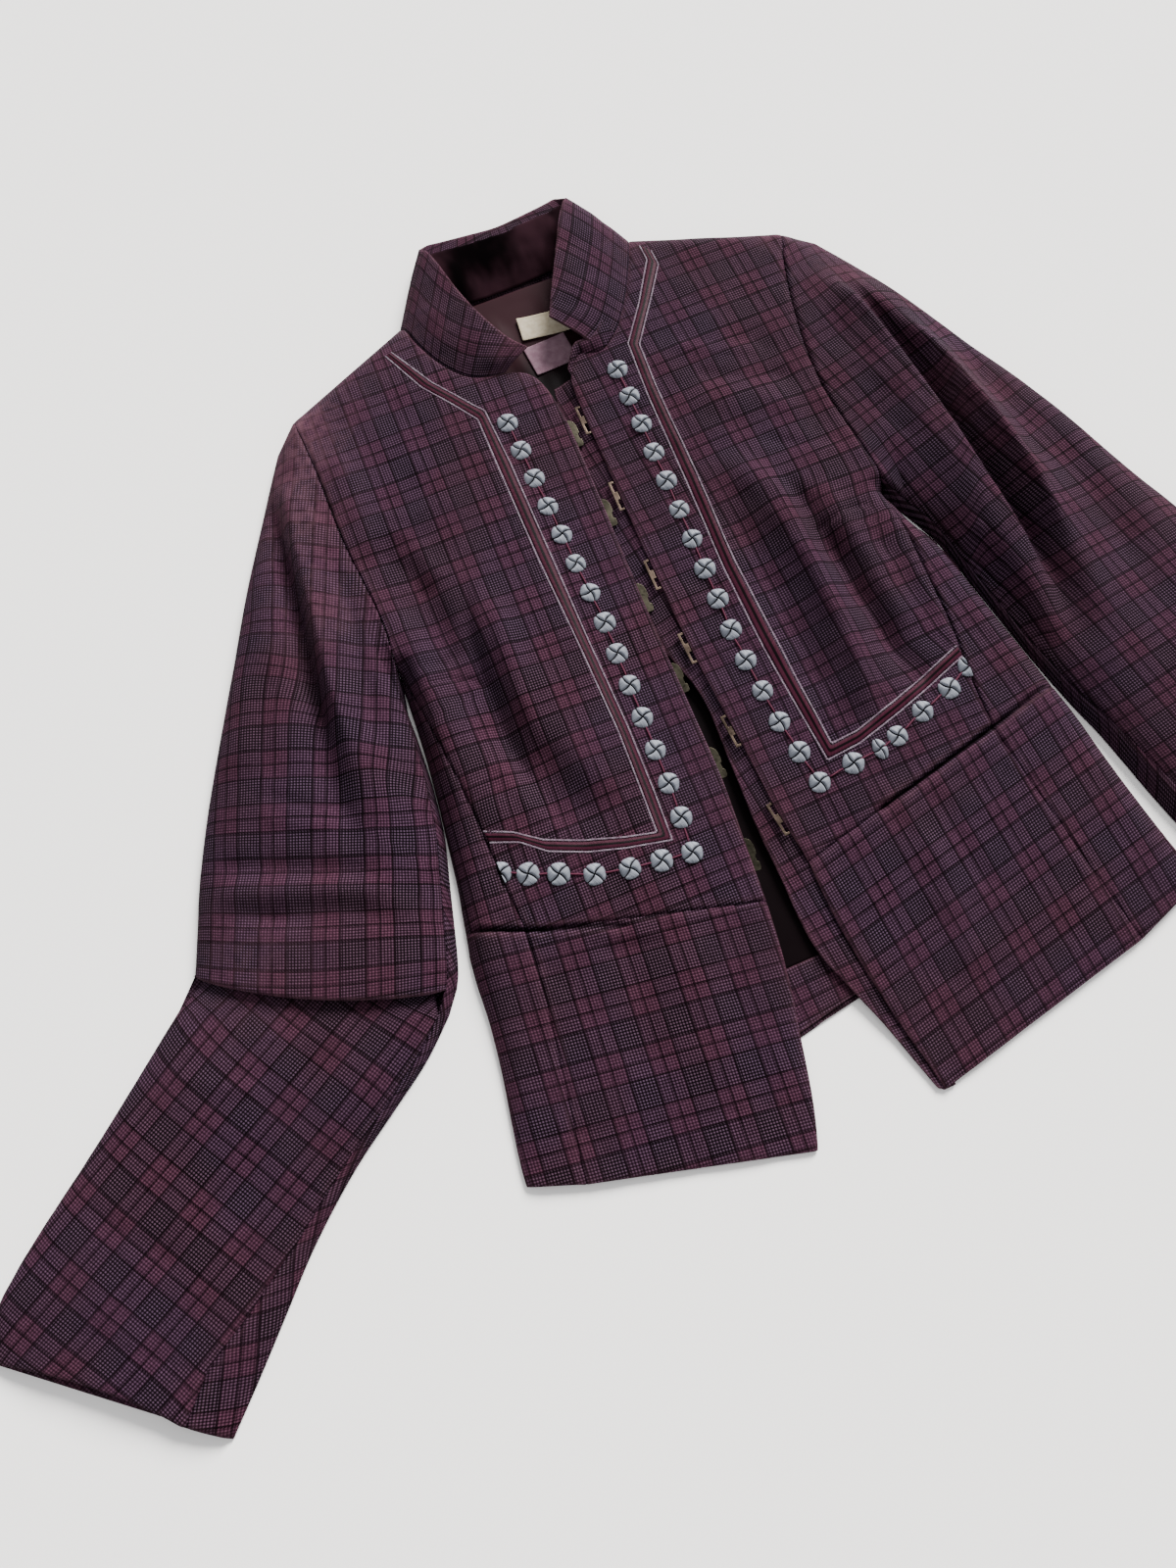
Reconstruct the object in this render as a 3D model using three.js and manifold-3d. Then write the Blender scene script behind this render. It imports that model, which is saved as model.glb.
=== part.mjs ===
import * as THREE from 'three';
import { mergeVertices } from 'three/addons/utils/BufferGeometryUtils.js';
import Module from 'manifold-3d';

// Embroidered jacket, laid out flat on its back. Millimetres, +Z up, +Y towards the collar.
// Left and right are the wearer's, so the wearer's right lies at -X.

// Driving sizes
const wall = 1.8;
const backWall = 1.6;
const liningWall = 1.0;
const labelWall = 0.6;
const halfGap = 0.2;
const layerGap = 0.3;
const edgeTop = 3.7;
const rollWidth = 17;
const flankReach = 75;
const sleeveEdge = 2.4;
const sleeveFullness = 2.6;
const sleeveColumns = 20;
const panelColumns = 10;
const sideColumns = 4;
const discRadius = 7.4;
const discHeight = 1.7;
const discSides = 10;
const discDrawIn = 0.74;
const threadWidth = 1.6;
const threadHeight = 0.7;
const threadOverlap = 2;
const threadDrawIn = 0.9;
const hookLength = 23;
const hookWall = 1.1;
const pocketSlit = 1.2;
const collarBulge = 2.2;
const armholeDrop = 0.1;
const armholeSeam = 0.97;
const bottomRoll = 1.3;
const sideRoll = 0.35;
const groundShift = new THREE.Vector3(59.5, 200.5, 0);

// Height of the front cloth above the table: y, at the right and left front edge, on the flanks
const fullness = [
  [120, 16, 16, 17],
  [0, 15.5, 15.5, 19],
  [-150, 14, 14, 19],
  [-250, 13.5, 13.5, 17.5],
  [-330, 12.5, 12.5, 14.5],
  [-380, 10.5, 10.5, 11.5],
  [-420, 8, 8.8, 9.2],
  [-450, 5.6, 7.6, 7.5],
  [-480, 3.8, 5.8, 5.4],
  [-500, 3, 5, 4.4],
  [-530, 2.2, 4.4, 3.6],
];

// Bodice rows from shoulder to waist: front edge x and y, armhole or panel seam x and y,
// and from the underarm down the side edge x and y
const rightBodice = [
  [-95, 105, -191, 62],
  [-94, 99, -190.8, 57],
  [-92, 89, -190.3, 48],
  [-87.5, 73, -189.6, 33],
  [-78, 54, -189, 11],
  [-66, 41, -189.5, -14],
  [-53, 35.5, -190, -39],
  [-41, 33.5, -189, -62],
  [-27, 28, -187, -84],
  [-19, 12, -186, -104],
  [-16, -20, -186.3, -122],
  [-17, -55, -188, -138],
  [-18.5, -90, -188.9, -150, -189.7, -151.5],
  [-20, -118, -185, -171, -190.6, -173],
  [-21.5, -155, -182, -201, -192.4, -203],
  [-23, -200, -179.5, -232, -194.6, -235],
  [-24, -248, -178, -262, -198.5, -265],
  [-25.5, -295, -177.5, -290, -203, -292],
  [-29.5, -338, -177, -314, -208.5, -312],
  [-33, -376, -176, -336, -211, -322],
];
const leftBodice = [
  [86, 111, 190.5, 73],
  [84.2, 105.5, 188.8, 67.5],
  [80.8, 97, 185.6, 58.5],
  [74, 82, 179.6, 44],
  [65, 65, 172.4, 22],
  [54.5, 48.5, 166, -2],
  [43, 34.5, 161, -28],
  [28, 25, 158, -53],
  [12, 29, 158, -76],
  [0, 13, 160, -98],
  [-3, -15, 162, -118],
  [-4, -48, 163.5, -134],
  [-5, -82, 163.5, -149.5, 164.3, -151.5],
  [-6, -112, 161.5, -173, 169.5, -174],
  [-6.5, -150, 159.5, -199, 179.5, -201],
  [-7, -192, 158, -227, 185, -231],
  [-6, -236, 156.5, -255, 189.5, -260],
  [-4, -280, 153, -284, 195, -288],
  [-2.5, -325, 150, -309, 199.5, -309],
  [2, -364, 149, -331, 202.5, -320],
];
// Skirt rows from waist to hem: front edge, skirt seam, side edge
const rightSkirt = [
  [-33, -376, -176, -336, -211, -322],
  [-36, -400, -178.5, -363, -215.5, -348],
  [-41, -428, -183, -393, -217.5, -378],
  [-47.5, -455, -188, -423, -221.5, -408],
  [-54, -482, -193, -451, -227, -438],
  [-60.5, -504, -197, -471, -230.5, -459],
  [-67, -521, -199.5, -485, -232, -473],
];
const leftSkirt = [
  [2, -364, 149, -331, 202.5, -320],
  [1.5, -392, 152, -357, 206.5, -345],
  [3, -420, 156, -385, 209.5, -374],
  [6, -447, 160, -413, 213, -402],
  [10, -474, 164, -441, 217, -429],
  [14.5, -498, 168, -466, 221, -452],
  [18, -519, 171, -487, 224, -468],
];

// Folds raised (or sunk) in the cloth: crest height, half width, and the line it follows
const rightFolds = [
  {
    height: -4.5,
    width: 15,
    line: [[-166, -50], [-159, -111], [-144, -192], [-122, -262], [-110, -300]],
  },
  { height: 3.2, width: 13, line: [[-172, -100], [-174, -170], [-170, -230], [-160, -290]] },
  { height: 4.0, width: 17, line: [[-138, -78], [-122, -152], [-108, -223], [-98, -290]] },
  { height: 2.4, width: 12, line: [[-176, 20], [-172, -20], [-176, -70]] },
  { height: -1.6, width: 12, line: [[-120, -345], [-128, -400], [-138, -450]] },
  { height: 1.5, width: 14, line: [[-90, -372], [-96, -420], [-104, -470]] },
];
const leftFolds = [
  { height: 6.5, width: 12, line: [[76, -80], [84, -130], [87, -195], [84, -258], [76, -300]] },
  { height: -4.2, width: 11, line: [[106, -150], [113, -200], [117, -250], [121, -304]] },
  { height: -2.6, width: 10, line: [[58, -110], [60, -170], [60, -230], [54, -285]] },
  { height: 2.2, width: 14, line: [[66, -40], [104, -52], [146, -72]] },
  { height: -2.0, width: 12, line: [[128, 10], [134, -50], [146, -110]] },
  { height: 1.8, width: 11, line: [[72, -370], [71, -420], [66, -470]] },
];
const rightSleeveFolds = [
  {
    height: 6.5,
    width: 14,
    line: [[-206, 24], [-215, -24], [-220, -82], [-227, -139], [-232, -190], [-235, -250]],
  },
  {
    height: -6,
    width: 11,
    line: [[-220, 10], [-231, -42], [-239, -99], [-246, -150], [-252, -205], [-255, -262]],
  },
  { height: 3.5, width: 16, line: [[-240, -22], [-264, -76], [-290, -130], [-312, -184]] },
  { height: -3.0, width: 7, line: [[-346, -222], [-313, -237], [-276, -254], [-238, -270]] },
  { height: 2.2, width: 7, line: [[-350, -238], [-314, -253], [-274, -268], [-236, -286]] },
  { height: -2.4, width: 7, line: [[-352, -252], [-312, -270], [-273, -284], [-235, -306]] },
  { height: -2.0, width: 12, line: [[-300, -345], [-350, -385], [-400, -430]] },
];
const leftSleeveFolds = [
  {
    height: 6,
    width: 14,
    line: [[194, 40], [203, -8], [210, -50], [215, -120], [219, -186], [218, -240], [211, -300]],
  },
  {
    height: -7.5,
    width: 12,
    line: [[212, 4], [222, -56], [229, -112], [233, -170], [236, -222], [232, -270], [224, -320]],
  },
  {
    height: 6,
    width: 13,
    line: [[216, 20], [229, -28], [242, -86], [250, -134], [254, -190], [252, -240], [244, -320]],
  },
  { height: -6, width: 11, line: [[180, -180], [194, -226], [202, -270], [206, -330]] },
  {
    height: -4.5,
    width: 14,
    line: [[246, -4], [262, -64], [276, -122], [286, -186], [288, -252], [284, -330]],
  },
  { height: 3.5, width: 15, line: [[276, -70], [300, -140], [316, -210], [326, -280]] },
  { height: -3.2, width: 10, line: [[352, -330], [310, -352], [260, -388]] },
  { height: 2.2, width: 12, line: [[312, -385], [332, -440], [346, -498]] },
];

// Sleeve rows below the armhole: outer edge x and y, inner edge x and y, crown height,
// where the seam with the under sleeve runs as a share of the width, and how far the row bows forward
const rightUpperArm = [
  [-210, 41, -194, -172, 21, 0.97],
  [-231, 5, -195, -196, 22, 0.97],
  [-262, -49, -198, -227, 22.5, 0.97],
  [-288, -99, -202.5, -258, 23, 0.97],
  [-313, -146, -209.5, -288, 23, 0.97],
  [-334, -187, -216, -312, 22.5, 0.97, 2],
  [-352, -227, -221, -330, 22, 0.97, 4],
  [-363, -257, -225, -342, 21.5, 0.97, 7],
  [-372, -281, -229, -350, 20.5, 0.97, 10],
];
const rightForearm = [
  [-387, -297, -239, -363, 14.5, 0.97, 8],
  [-404, -311, -261, -383, 15, 0.97, 5],
  [-433, -335, -290, -403, 15, 0.97],
  [-464, -360, -322, -425, 14, 0.965],
  [-494, -383, -356, -454, 13, 0.945],
  [-517, -402, -384, -483, 12, 0.887],
  [-533, -419, -408, -508, 11, 0.827],
  [-541, -444, -431, -531, 10, 0.823],
];
const leftArm = [
  [212, 56, 173, -169, 22, 0.97],
  [236, 16, 184, -198, 24, 0.97],
  [257, -24, 190, -233, 25, 0.97],
  [278, -71, 196, -268, 25, 0.97],
  [297, -114, 202, -302, 25, 0.97],
  [314, -157, 209, -334, 24.5, 0.97],
  [330, -201, 216, -360, 24, 0.96],
  [345, -238, 221, -384, 23, 0.95],
  [359, -280, 226, -409, 22, 0.94],
  [372, -326, 233, -438, 20.5, 0.93],
  [384, -372, 243, -469, 18.5, 0.92],
  [396, -418, 254, -499, 16, 0.91],
  [408, -462, 266, -527, 13.5, 0.9],
  [417, -498, 280, -552, 11.5, 0.89],
  [422, -519, 294, -566, 10, 0.88],
];
// The right forearm's top is tucked under the elbow fold: how far back, and how much narrower
const tuckDepth = 20;
const tuckInset = 6;
const foldReach = 3.2;
const foldDrop = 3.0;

// Collar leaves: top edge x, y and z for each of the first eight bodice rows
const rightLeafTop = [
  [-60, 157, 13],
  [-59, 150, 20],
  [-57, 142, 25],
  [-54, 126, 28],
  [-49, 100, 28],
  [-41, 75, 27],
  [-31, 53, 26],
  [-21, 42, 24],
];
const leftLeafTop = [
  [56, 158, 13],
  [54, 152, 20],
  [49, 145, 25],
  [40, 130, 28],
  [29, 109, 28],
  [19, 90, 27],
  [10, 73, 26],
  [3, 59, 24],
];
// The collar behind the neck: seam x, y and z, top edge x, y and z
const backCollar = [
  [-89, 109.4, 1.0, -54, 163, 6.5],
  [-72, 108.9, 0.2, -42, 162, 6.0],
  [-40, 107.8, 0, -22, 160, 6.0],
  [-8, 108.6, 0, -2, 158, 6.5],
  [24, 110.2, 0, 16, 160, 6.0],
  [58, 112.4, 0.2, 38, 163, 6.0],
  [79, 113.8, 1.0, 51, 165, 6.5],
];
const collarRows = 5;
const velvetShare = 0.82;

// Underlap strip: outer edge x and y beside each front row from the neck to the hem, and its height
const underlapEdge = [
  [-13, 12, 9.5],
  [-19, -16, 9.5],
  [-23, -48, 9.5],
  [-25, -84, 9.2],
  [-25.5, -116, 9.2],
  [-26, -156, 9],
  [-23, -196, 9],
  [-13, -238, 9],
  [-15, -284, 9],
  [-17.5, -330, 8.5],
  [-17.5, -366, 7.5],
  [-18, -394, 6.6],
  [-16, -418, 6.6],
  [-8, -443, 5.6],
  [2, -472, 4.2],
  [9, -497, 2.8],
  [14.5, -517, 2.3],
];
const underlapTuck = 7;

// Embroidered discs: evenly down a line at the front, then at places along the waist: x, y, width share
const rightDiscs = {
  count: 15,
  line: [[-55, -5], [-54, -60], [-53, -121], [-52, -168], [-56, -240], [-59, -300], [-63, -331]],
  waist: [
    [-82.5, -328.4, 1],
    [-102.6, -325.5, 1],
    [-124.1, -320.3, 1],
    [-144.4, -311.7, 1],
    [-161.8, -304.3, 1],
    [-177.3, -297, 1],
  ],
};
const leftDiscs = {
  count: 15,
  line: [[32, 5], [29, -64], [26, -136], [21.5, -218], [24, -276], [30, -321]],
  waist: [
    [54.7, -318.3, 1],
    [74.4, -316.6, 0.65],
    [88.7, -313, 1],
    [110.9, -304.6, 1],
    [134, -297.3, 1],
    [152.3, -288.8, 1],
  ],
};
const hookPlaces = [[-16.5, -28], [-18.5, -93], [-21.5, -160], [-23.5, -221], [-25, -283], [-29.5, -345.5]];
const eyePlaces = [[-3, -22], [-5.2, -85], [-6.4, -148], [-6.8, -205], [-4.6, -268], [-2.4, -332]];

const backHem = [[-120, -466], [-46, -458], [-3, -450], [100, -456]];
const backNeck = [[85, 111.4], [78, 112.4], [30, 109.6], [-36, 106.8], [-88, 107.6], [-94, 105.4]];
const liningOutline = [
  [-88, 103.6], [-8, 104.2], [74, 105], [52, 40], [30, -40],
  [26, -200], [22, -417.8], [-76, -417.8], [-64, -200], [-60, -20],
];
const facingOutline = [[-84, -418.4], [34, -418.4], [36, -451], [-3, -447.4], [-46, -455.4], [-84, -459]];
const creamLabel = { centre: [2, 69], size: [36, 19], turn: -0.12 };
const mauveLabel = { centre: [-3, 44], size: [32, 24], turn: 0.06 };

// Plates seen from above: across the front edge, and down along it
const hookOutline = [
  [-3.5, 0.5], [3.2, 0.5], [4.6, 1.6], [4.8, 5.2], [3.6, 6.4], [3.4, 9], [4.6, 11], [4.8, 17],
  [3.4, 20.6], [1.2, 22.6], [-3.5, hookLength],
];
const eyeOutline = [
  [0, 0], [-3.6, 0], [-3.6, hookLength], [0, hookLength], [0, hookLength - 1.6], [-2, hookLength - 1.6],
  [-2, 14.6], [0, 14.6], [0, 8.4], [-2, 8.4], [-2, 1.6], [0, 1.6],
];
const eyeInset = -0.8;
const hookBelow = 0.5;
const eyeAbove = 0.4;

const cloth = { color: 0x553c4b, roughness: 0.92, metalness: 0 };
const finishes = {
  cloth,
  satin: { color: 0x6f5a6b, roughness: 0.5, metalness: 0 },
  velvet: { color: 0x241722, roughness: 0.85, metalness: 0 },
  silk: { color: 0xb9c8d0, roughness: 0.45, metalness: 0 },
  cream: { color: 0xd6cdb8, roughness: 0.8, metalness: 0 },
  mauve: { color: 0x8c6f85, roughness: 0.7, metalness: 0 },
  darkMetal: { color: 0x5d5a4c, roughness: 0.45, metalness: 1 },
  brass: { color: 0xb79a76, roughness: 0.4, metalness: 1 },
};

// Small helpers in the plane and on tables
const mix = (a, b, t) => a + (b - a) * t;
const mixPoint = (a, b, t) => a.map((value, i) => mix(value, b[i], t));
const clamp01 = (t) => Math.min(Math.max(t, 0), 1);
const smooth = (t) => clamp01(t) ** 2 * (3 - 2 * clamp01(t));
const distance = (a, b) => Math.hypot(a[0] - b[0], a[1] - b[1]);
const spread = (a, b) => Math.hypot(a[0] - b[0], a[1] - b[1], a[2] - b[2]);
const moved = (a, b, d) => mixPoint(a, b, d / distance(a, b));

function tableAt(table, key) {
  const below = table.findIndex((row) => row[0] <= key);
  if (below === 0) return table[0].slice(1);
  if (below < 0) return table[table.length - 1].slice(1);
  const [high, low] = [table[below - 1], table[below]];
  return mixPoint(high, low, (high[0] - key) / (high[0] - low[0])).slice(1);
}

// Nearest place on a line of points: how far it is, and how far along it as a share
function nearest(line, x, y) {
  let best = { away: Infinity, share: 0 };
  for (let i = 0; i + 1 < line.length; i += 1) {
    const [a, b] = [line[i], line[i + 1]];
    const [dx, dy] = [b[0] - a[0], b[1] - a[1]];
    const t = clamp01(((x - a[0]) * dx + (y - a[1]) * dy) / (dx * dx + dy * dy));
    const away = Math.hypot(x - a[0] - dx * t, y - a[1] - dy * t);
    if (away < best.away) best = { away, share: (i + t) / (line.length - 1) };
  }
  return best;
}

// Point at a share of a line's length
function pointAt(line, share) {
  const lengths = line.slice(1).map((point, i) => distance(point, line[i]));
  let left = share * lengths.reduce((sum, length) => sum + length, 0);
  for (let i = 0; i < lengths.length; i += 1) {
    const last = i === lengths.length - 1;
    if (left <= lengths[i] || last) return mixPoint(line[i], line[i + 1], left / lengths[i]);
    left -= lengths[i];
  }
  return line[0];
}

function foldsAt(folds, x, y) {
  let height = 0;
  for (const fold of folds) {
    const { away, share } = nearest(fold.line, x, y);
    height += fold.height * Math.exp(-((away / fold.width) ** 2)) * smooth(6 * share * (1 - share));
  }
  return height;
}

// One side of the body: its tables, and the height of its top cloth anywhere
function makeSide(bodice, skirt, folds, centreX, edgeColumn) {
  const underarm = bodice.findIndex((row) => row.length === 6);
  const shoulder = [bodice[0].slice(0, 2), bodice[0].slice(2, 4)];
  const sideEdge = [...bodice.slice(underarm), ...skirt.slice(1)].map((row) => row.slice(4, 6));
  const armhole = bodice.slice(0, underarm + 1).map((row) => row.slice(2, 4));
  const heightAt = (x, y) => {
    const { [edgeColumn]: centre, 2: flank } = tableAt(fullness, y);
    const full = mix(centre, flank, smooth(Math.abs(x - centreX) / flankReach)) + foldsAt(folds, x, y);
    const away = Math.min(nearest(shoulder, x, y).away, nearest(sideEdge, x, y).away);
    const rise = 1 - (1 - clamp01(away / rollWidth)) ** 2;
    return edgeTop + (full - edgeTop) * rise;
  };
  return { bodice, skirt, underarm, sideEdge, armhole, heightAt };
}

const right = makeSide(rightBodice, rightSkirt, rightFolds, -25, 0);
const left = makeSide(leftBodice, leftSkirt, leftFolds, 5, 1);

// Closed wall between an outer and an inner grid of points, faces outwards
function wallGeometry(outer, inner) {
  const [rows, columns] = [outer.length, outer[0].length];
  const points = [...outer.flat(), ...inner.flat()];
  const at = (r, c) => r * columns + c;
  const faces = [];
  const second = rows * columns;
  for (let r = 0; r + 1 < rows; r += 1) {
    for (let c = 0; c + 1 < columns; c += 1) {
      const corners = [at(r, c), at(r, c + 1), at(r + 1, c + 1), at(r + 1, c)];
      const [p, q, s, t] = corners.map((corner) => new THREE.Vector3(...points[corner]));
      const turn = p.distanceTo(s) > q.distanceTo(t) ? 1 : 0;
      const [i, j, k, l] = [0, 1, 2, 3].map((step) => corners[(step + turn) % 4]);
      faces.push([i, j, k], [i, k, l]);
      faces.push([k + second, j + second, i + second], [l + second, k + second, i + second]);
    }
  }
  const rim = [];
  for (let c = 0; c + 1 < columns; c += 1) {
    rim.push([at(0, c + 1), at(0, c)], [at(rows - 1, c), at(rows - 1, c + 1)]);
  }
  for (let r = 0; r + 1 < rows; r += 1) {
    rim.push([at(r, 0), at(r + 1, 0)], [at(r + 1, columns - 1), at(r, columns - 1)]);
  }
  for (const [a, b] of rim) faces.push([a, b, b + second], [a, b + second, a + second]);
  return solidGeometry(points, faces);
}

function solidGeometry(points, faces) {
  let volume = 0;
  for (const face of faces) {
    const [a, b, c] = face.map((corner) => new THREE.Vector3(...points[corner]));
    volume += a.dot(b.cross(c)) / 6;
  }
  const ordered = volume < 0 ? faces.map(([a, b, c]) => [a, c, b]) : faces;
  const geometry = new THREE.BufferGeometry();
  geometry.setAttribute('position', new THREE.Float32BufferAttribute(points.flat(), 3));
  geometry.setIndex(ordered.flat());
  return geometry;
}

const jacket = new THREE.Group();
jacket.position.copy(groundShift);

function addNode(name, geometry, finish) {
  geometry.computeVertexNormals();
  const mesh = new THREE.Mesh(geometry, new THREE.MeshStandardMaterial(finishes[finish]));
  mesh.name = name;
  jacket.add(mesh);
  return mesh;
}

// Panel of the body: rows of start and end points, divided into columns, on the side's height
function panelGrid(side, rows, columns) {
  return rows.map(([start, end]) => {
    const line = [];
    for (let c = 0; c < columns; c += 1) {
      const [x, y] = mixPoint(start, end, c / (columns - 1));
      line.push([x, y, side.heightAt(x, y)]);
    }
    return line;
  });
}

const lowered = (grid, depth) => grid.map((line) => line.map(([x, y, z]) => [x, y, z - depth]));

function addPanel(name, side, rows, columns) {
  const grid = panelGrid(side, rows, columns);
  addNode(name, wallGeometry(grid, lowered(grid, wall)), 'cloth');
  return grid;
}

// Row between two columns of a table, shortened by half a seam gap where asked
function rowBetween(row, from, to, startGap, endGap) {
  const start = row.slice(from, from + 2);
  const end = row.slice(to, to + 2);
  return [moved(start, end, startGap), moved(end, start, endGap)];
}

// The last row is pulled back towards the one before it, and the first towards the one after
function trimRows(rows, firstGap, lastGap) {
  const trimmed = rows.map((row) => row.map((point) => [...point]));
  const last = rows.length - 1;
  for (const end of [0, 1]) {
    trimmed[0][end] = moved(rows[0][end], rows[1][end], firstGap);
    trimmed[last][end] = moved(rows[last][end], rows[last - 1][end], lastGap);
  }
  return trimmed;
}

function addBody(suffix, side) {
  const { bodice, skirt, underarm } = side;
  const frontRows = bodice.map((row) => rowBetween(row, 0, 2, halfGap, halfGap));
  const sideRows = bodice.slice(underarm).map((row) => rowBetween(row, 2, 4, halfGap, 0));
  const skirtRows = skirt.map((row) => rowBetween(row, 0, 2, halfGap, halfGap));
  const skirtSideRows = skirt.map((row) => rowBetween(row, 2, 4, halfGap, 0));
  const front = addPanel(`front_${suffix}`, side, trimRows(frontRows, 0, halfGap), panelColumns);
  addPanel(`side_${suffix}`, side, trimRows(sideRows, halfGap, halfGap), sideColumns);
  const skirtGrid = addPanel(`skirt_front_${suffix}`, side, trimRows(skirtRows, halfGap, 0), panelColumns);
  addPanel(`skirt_side_${suffix}`, side, trimRows(skirtSideRows, pocketSlit, 0), sideColumns);
  return { front, skirtGrid };
}

const rightBody = addBody('right', right);
const leftBody = addBody('left', left);

// Flat pieces cut to an outline
function addFlat(name, outline, bottom, thickness, finish) {
  const shape = new THREE.Shape(outline.map((point) => new THREE.Vector2(...point)));
  const geometry = new THREE.ExtrudeGeometry(shape, { depth: thickness, bevelEnabled: false });
  geometry.translate(0, 0, bottom);
  return addNode(name, geometry, finish);
}

function backSide(side) {
  const towards = -Math.sign(side.armhole[0][0]) * 2 * halfGap;
  return [...side.armhole, ...side.sideEdge.slice(1)].map(([x, y]) => [x + towards, y]);
}
const backOutline = [...backNeck, ...backSide(right), ...backHem, ...backSide(left).reverse()];
const liningBottom = backWall + layerGap;
const labelBottom = liningBottom + liningWall + layerGap;
addFlat('back', backOutline, 0, backWall, 'cloth');
addFlat('back_lining', liningOutline, liningBottom, liningWall, 'satin');
addFlat('back_hem_facing', facingOutline, liningBottom, liningWall, 'cloth');

function addLabel(name, label, finish) {
  const [width, depth] = label.size;
  const mesh = addNode(name, new THREE.BoxGeometry(width, depth, labelWall), finish);
  mesh.position.set(...label.centre, labelBottom + labelWall / 2);
  mesh.rotation.z = label.turn;
}
addLabel('label_cream', creamLabel, 'cream');
addLabel('label_mauve', mauveLabel, 'mauve');

// A row midway between each two, so that narrow folds run smoothly
function refined(rows) {
  const middles = rows.slice(1).map((row, i) => mixPoint(rows[i], row, 0.5));
  return rows.flatMap((row, i) => (i === 0 ? [row] : [middles[i - 1], row]));
}

// Sleeve: each row gives a plan point and a section height at any share v of its width
function sleeveRow(row, folds) {
  const [outerX, outerY, innerX, innerY, crown, seam, bow = 0] = row;
  const [start, end] = [[outerX, outerY], [innerX, innerY]];
  const width = distance(start, end);
  const [alongX, alongY] = [(innerX - outerX) / width, (innerY - outerY) / width];
  const plan = (v) => {
    const lift = bow * 4 * v * (1 - v);
    const [x, y] = mixPoint(start, end, v);
    return [x + alongY * lift, y - alongX * lift];
  };
  const height = (v) => {
    const [x, y] = plan(v);
    const round = Math.sqrt(Math.max(0, 1 - Math.abs(2 * v - 1) ** sleeveFullness));
    return sleeveEdge + (crown - sleeveEdge + foldsAt(folds, x, y)) * round;
  };
  return { plan, height, width, seam };
}

// The armhole row follows the body's edge, half a seam gap outside it
function armholeRow(side, outward) {
  const line = side.armhole;
  const plan = (v) => {
    const [x, y] = pointAt(line, clamp01(v));
    return [x + outward * 2 * halfGap, y];
  };
  const height = (v) => Math.max(sleeveEdge, side.heightAt(...pointAt(line, clamp01(v))) - armholeDrop);
  const width = distance(line[0], line[line.length - 1]);
  return { plan, height, width, seam: armholeSeam };
}

// Direction out of the sleeve's top at share v, across the row and up
function topNormal(row, v) {
  if (v <= 0) return [-1, 0];
  if (v >= 1) return [1, 0];
  const step = 0.004;
  const [low, high] = [clamp01(v - step), clamp01(v + step)];
  const rise = row.height(high) - row.height(low);
  const run = (high - low) * row.width;
  return [-rise, run].map((n) => n / Math.hypot(rise, run));
}

// Point on the sleeve's top at share v, and the same point one wall further in
const topPair = (row, v) => pair(row, v, row.height(v), topNormal(row, v));

function pair(row, v, z, normal) {
  const inner = v - (normal[0] * wall) / row.width;
  return [[...row.plan(v), z], [...row.plan(inner), z - normal[1] * wall]];
}

// Columns of the top are closer together at its edges
function topShare(c) {
  const even = c / (sleeveColumns - 1);
  return mix(even, 0.5 - 0.5 * Math.cos(Math.PI * even), 0.45);
}

function topColumns(row) {
  const seam = row.seam - (1.2 * layerGap) / row.width;
  const pairs = [];
  for (let c = 0; c + 1 < sleeveColumns; c += 1) pairs.push(topPair(row, seam * topShare(c)));
  pairs.push(pair(row, seam, row.height(seam), topNormal(row, row.seam)));
  return pairs;
}

function underColumns(row) {
  const roll = sleeveEdge / row.width;
  const pairs = [topPair(row, row.seam), topPair(row, mix(row.seam, 1, 0.55)), topPair(row, 1)];
  pairs.push(pair(row, 1 - sideRoll * roll, sideRoll * sleeveEdge, [0.8, -0.6]));
  for (const v of [1 - bottomRoll * roll, 0.85, 0.71, 0.57, 0.43, 0.29, 0.15, bottomRoll * roll]) {
    pairs.push(pair(row, v, 0, [0, -1]));
  }
  pairs.push(pair(row, sideRoll * roll, sideRoll * sleeveEdge, [-0.8, -0.6]));
  pairs.push(pair(row, 0, sleeveEdge - layerGap, [-1, 0]));
  return pairs;
}

function addSleevePart(name, columnRows) {
  const outer = columnRows.map((pairs) => pairs.map(([point]) => point));
  const inner = columnRows.map((pairs) => pairs.map(([, point]) => point));
  addNode(name, wallGeometry(outer, inner), 'cloth');
}

// The elbow's fold edge: the top rolls over and ends underneath
function foldOver(row, before) {
  const ends = [0, 1].map((v) => row.plan(v));
  const starts = [0, 1].map((v) => before.plan(v));
  const forward = [0, 1].map((i) => (ends[0][i] + ends[1][i] - starts[0][i] - starts[1][i]) / 2);
  const size = Math.hypot(...forward);
  const [dx, dy] = forward.map((value) => value / size);
  const steps = [[0.7, 0.28, 0.7, 0.7], [1, 1, 1, 0.15]];
  return steps.map(([reach, drop, shrink, sink]) => topColumns(row).map(([point, inner], c) => {
    const share = 1 - 0.95 * Math.abs((2 * c) / (sleeveColumns - 1) - 1) ** 8;
    const depth = Math.min(foldDrop, (point[2] - sleeveEdge) * 0.3) * drop * share;
    const ahead = foldReach * reach * share;
    const out = [point[0] + dx * ahead, point[1] + dy * ahead, point[2] - depth];
    const [ix, iy, iz] = inner.map((value, i) => value - point[i]);
    const back = wall * shrink;
    return [out, [out[0] + ix * sink - dx * back, out[1] + iy * sink - dy * back, out[2] + iz * sink]];
  }));
}

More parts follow.
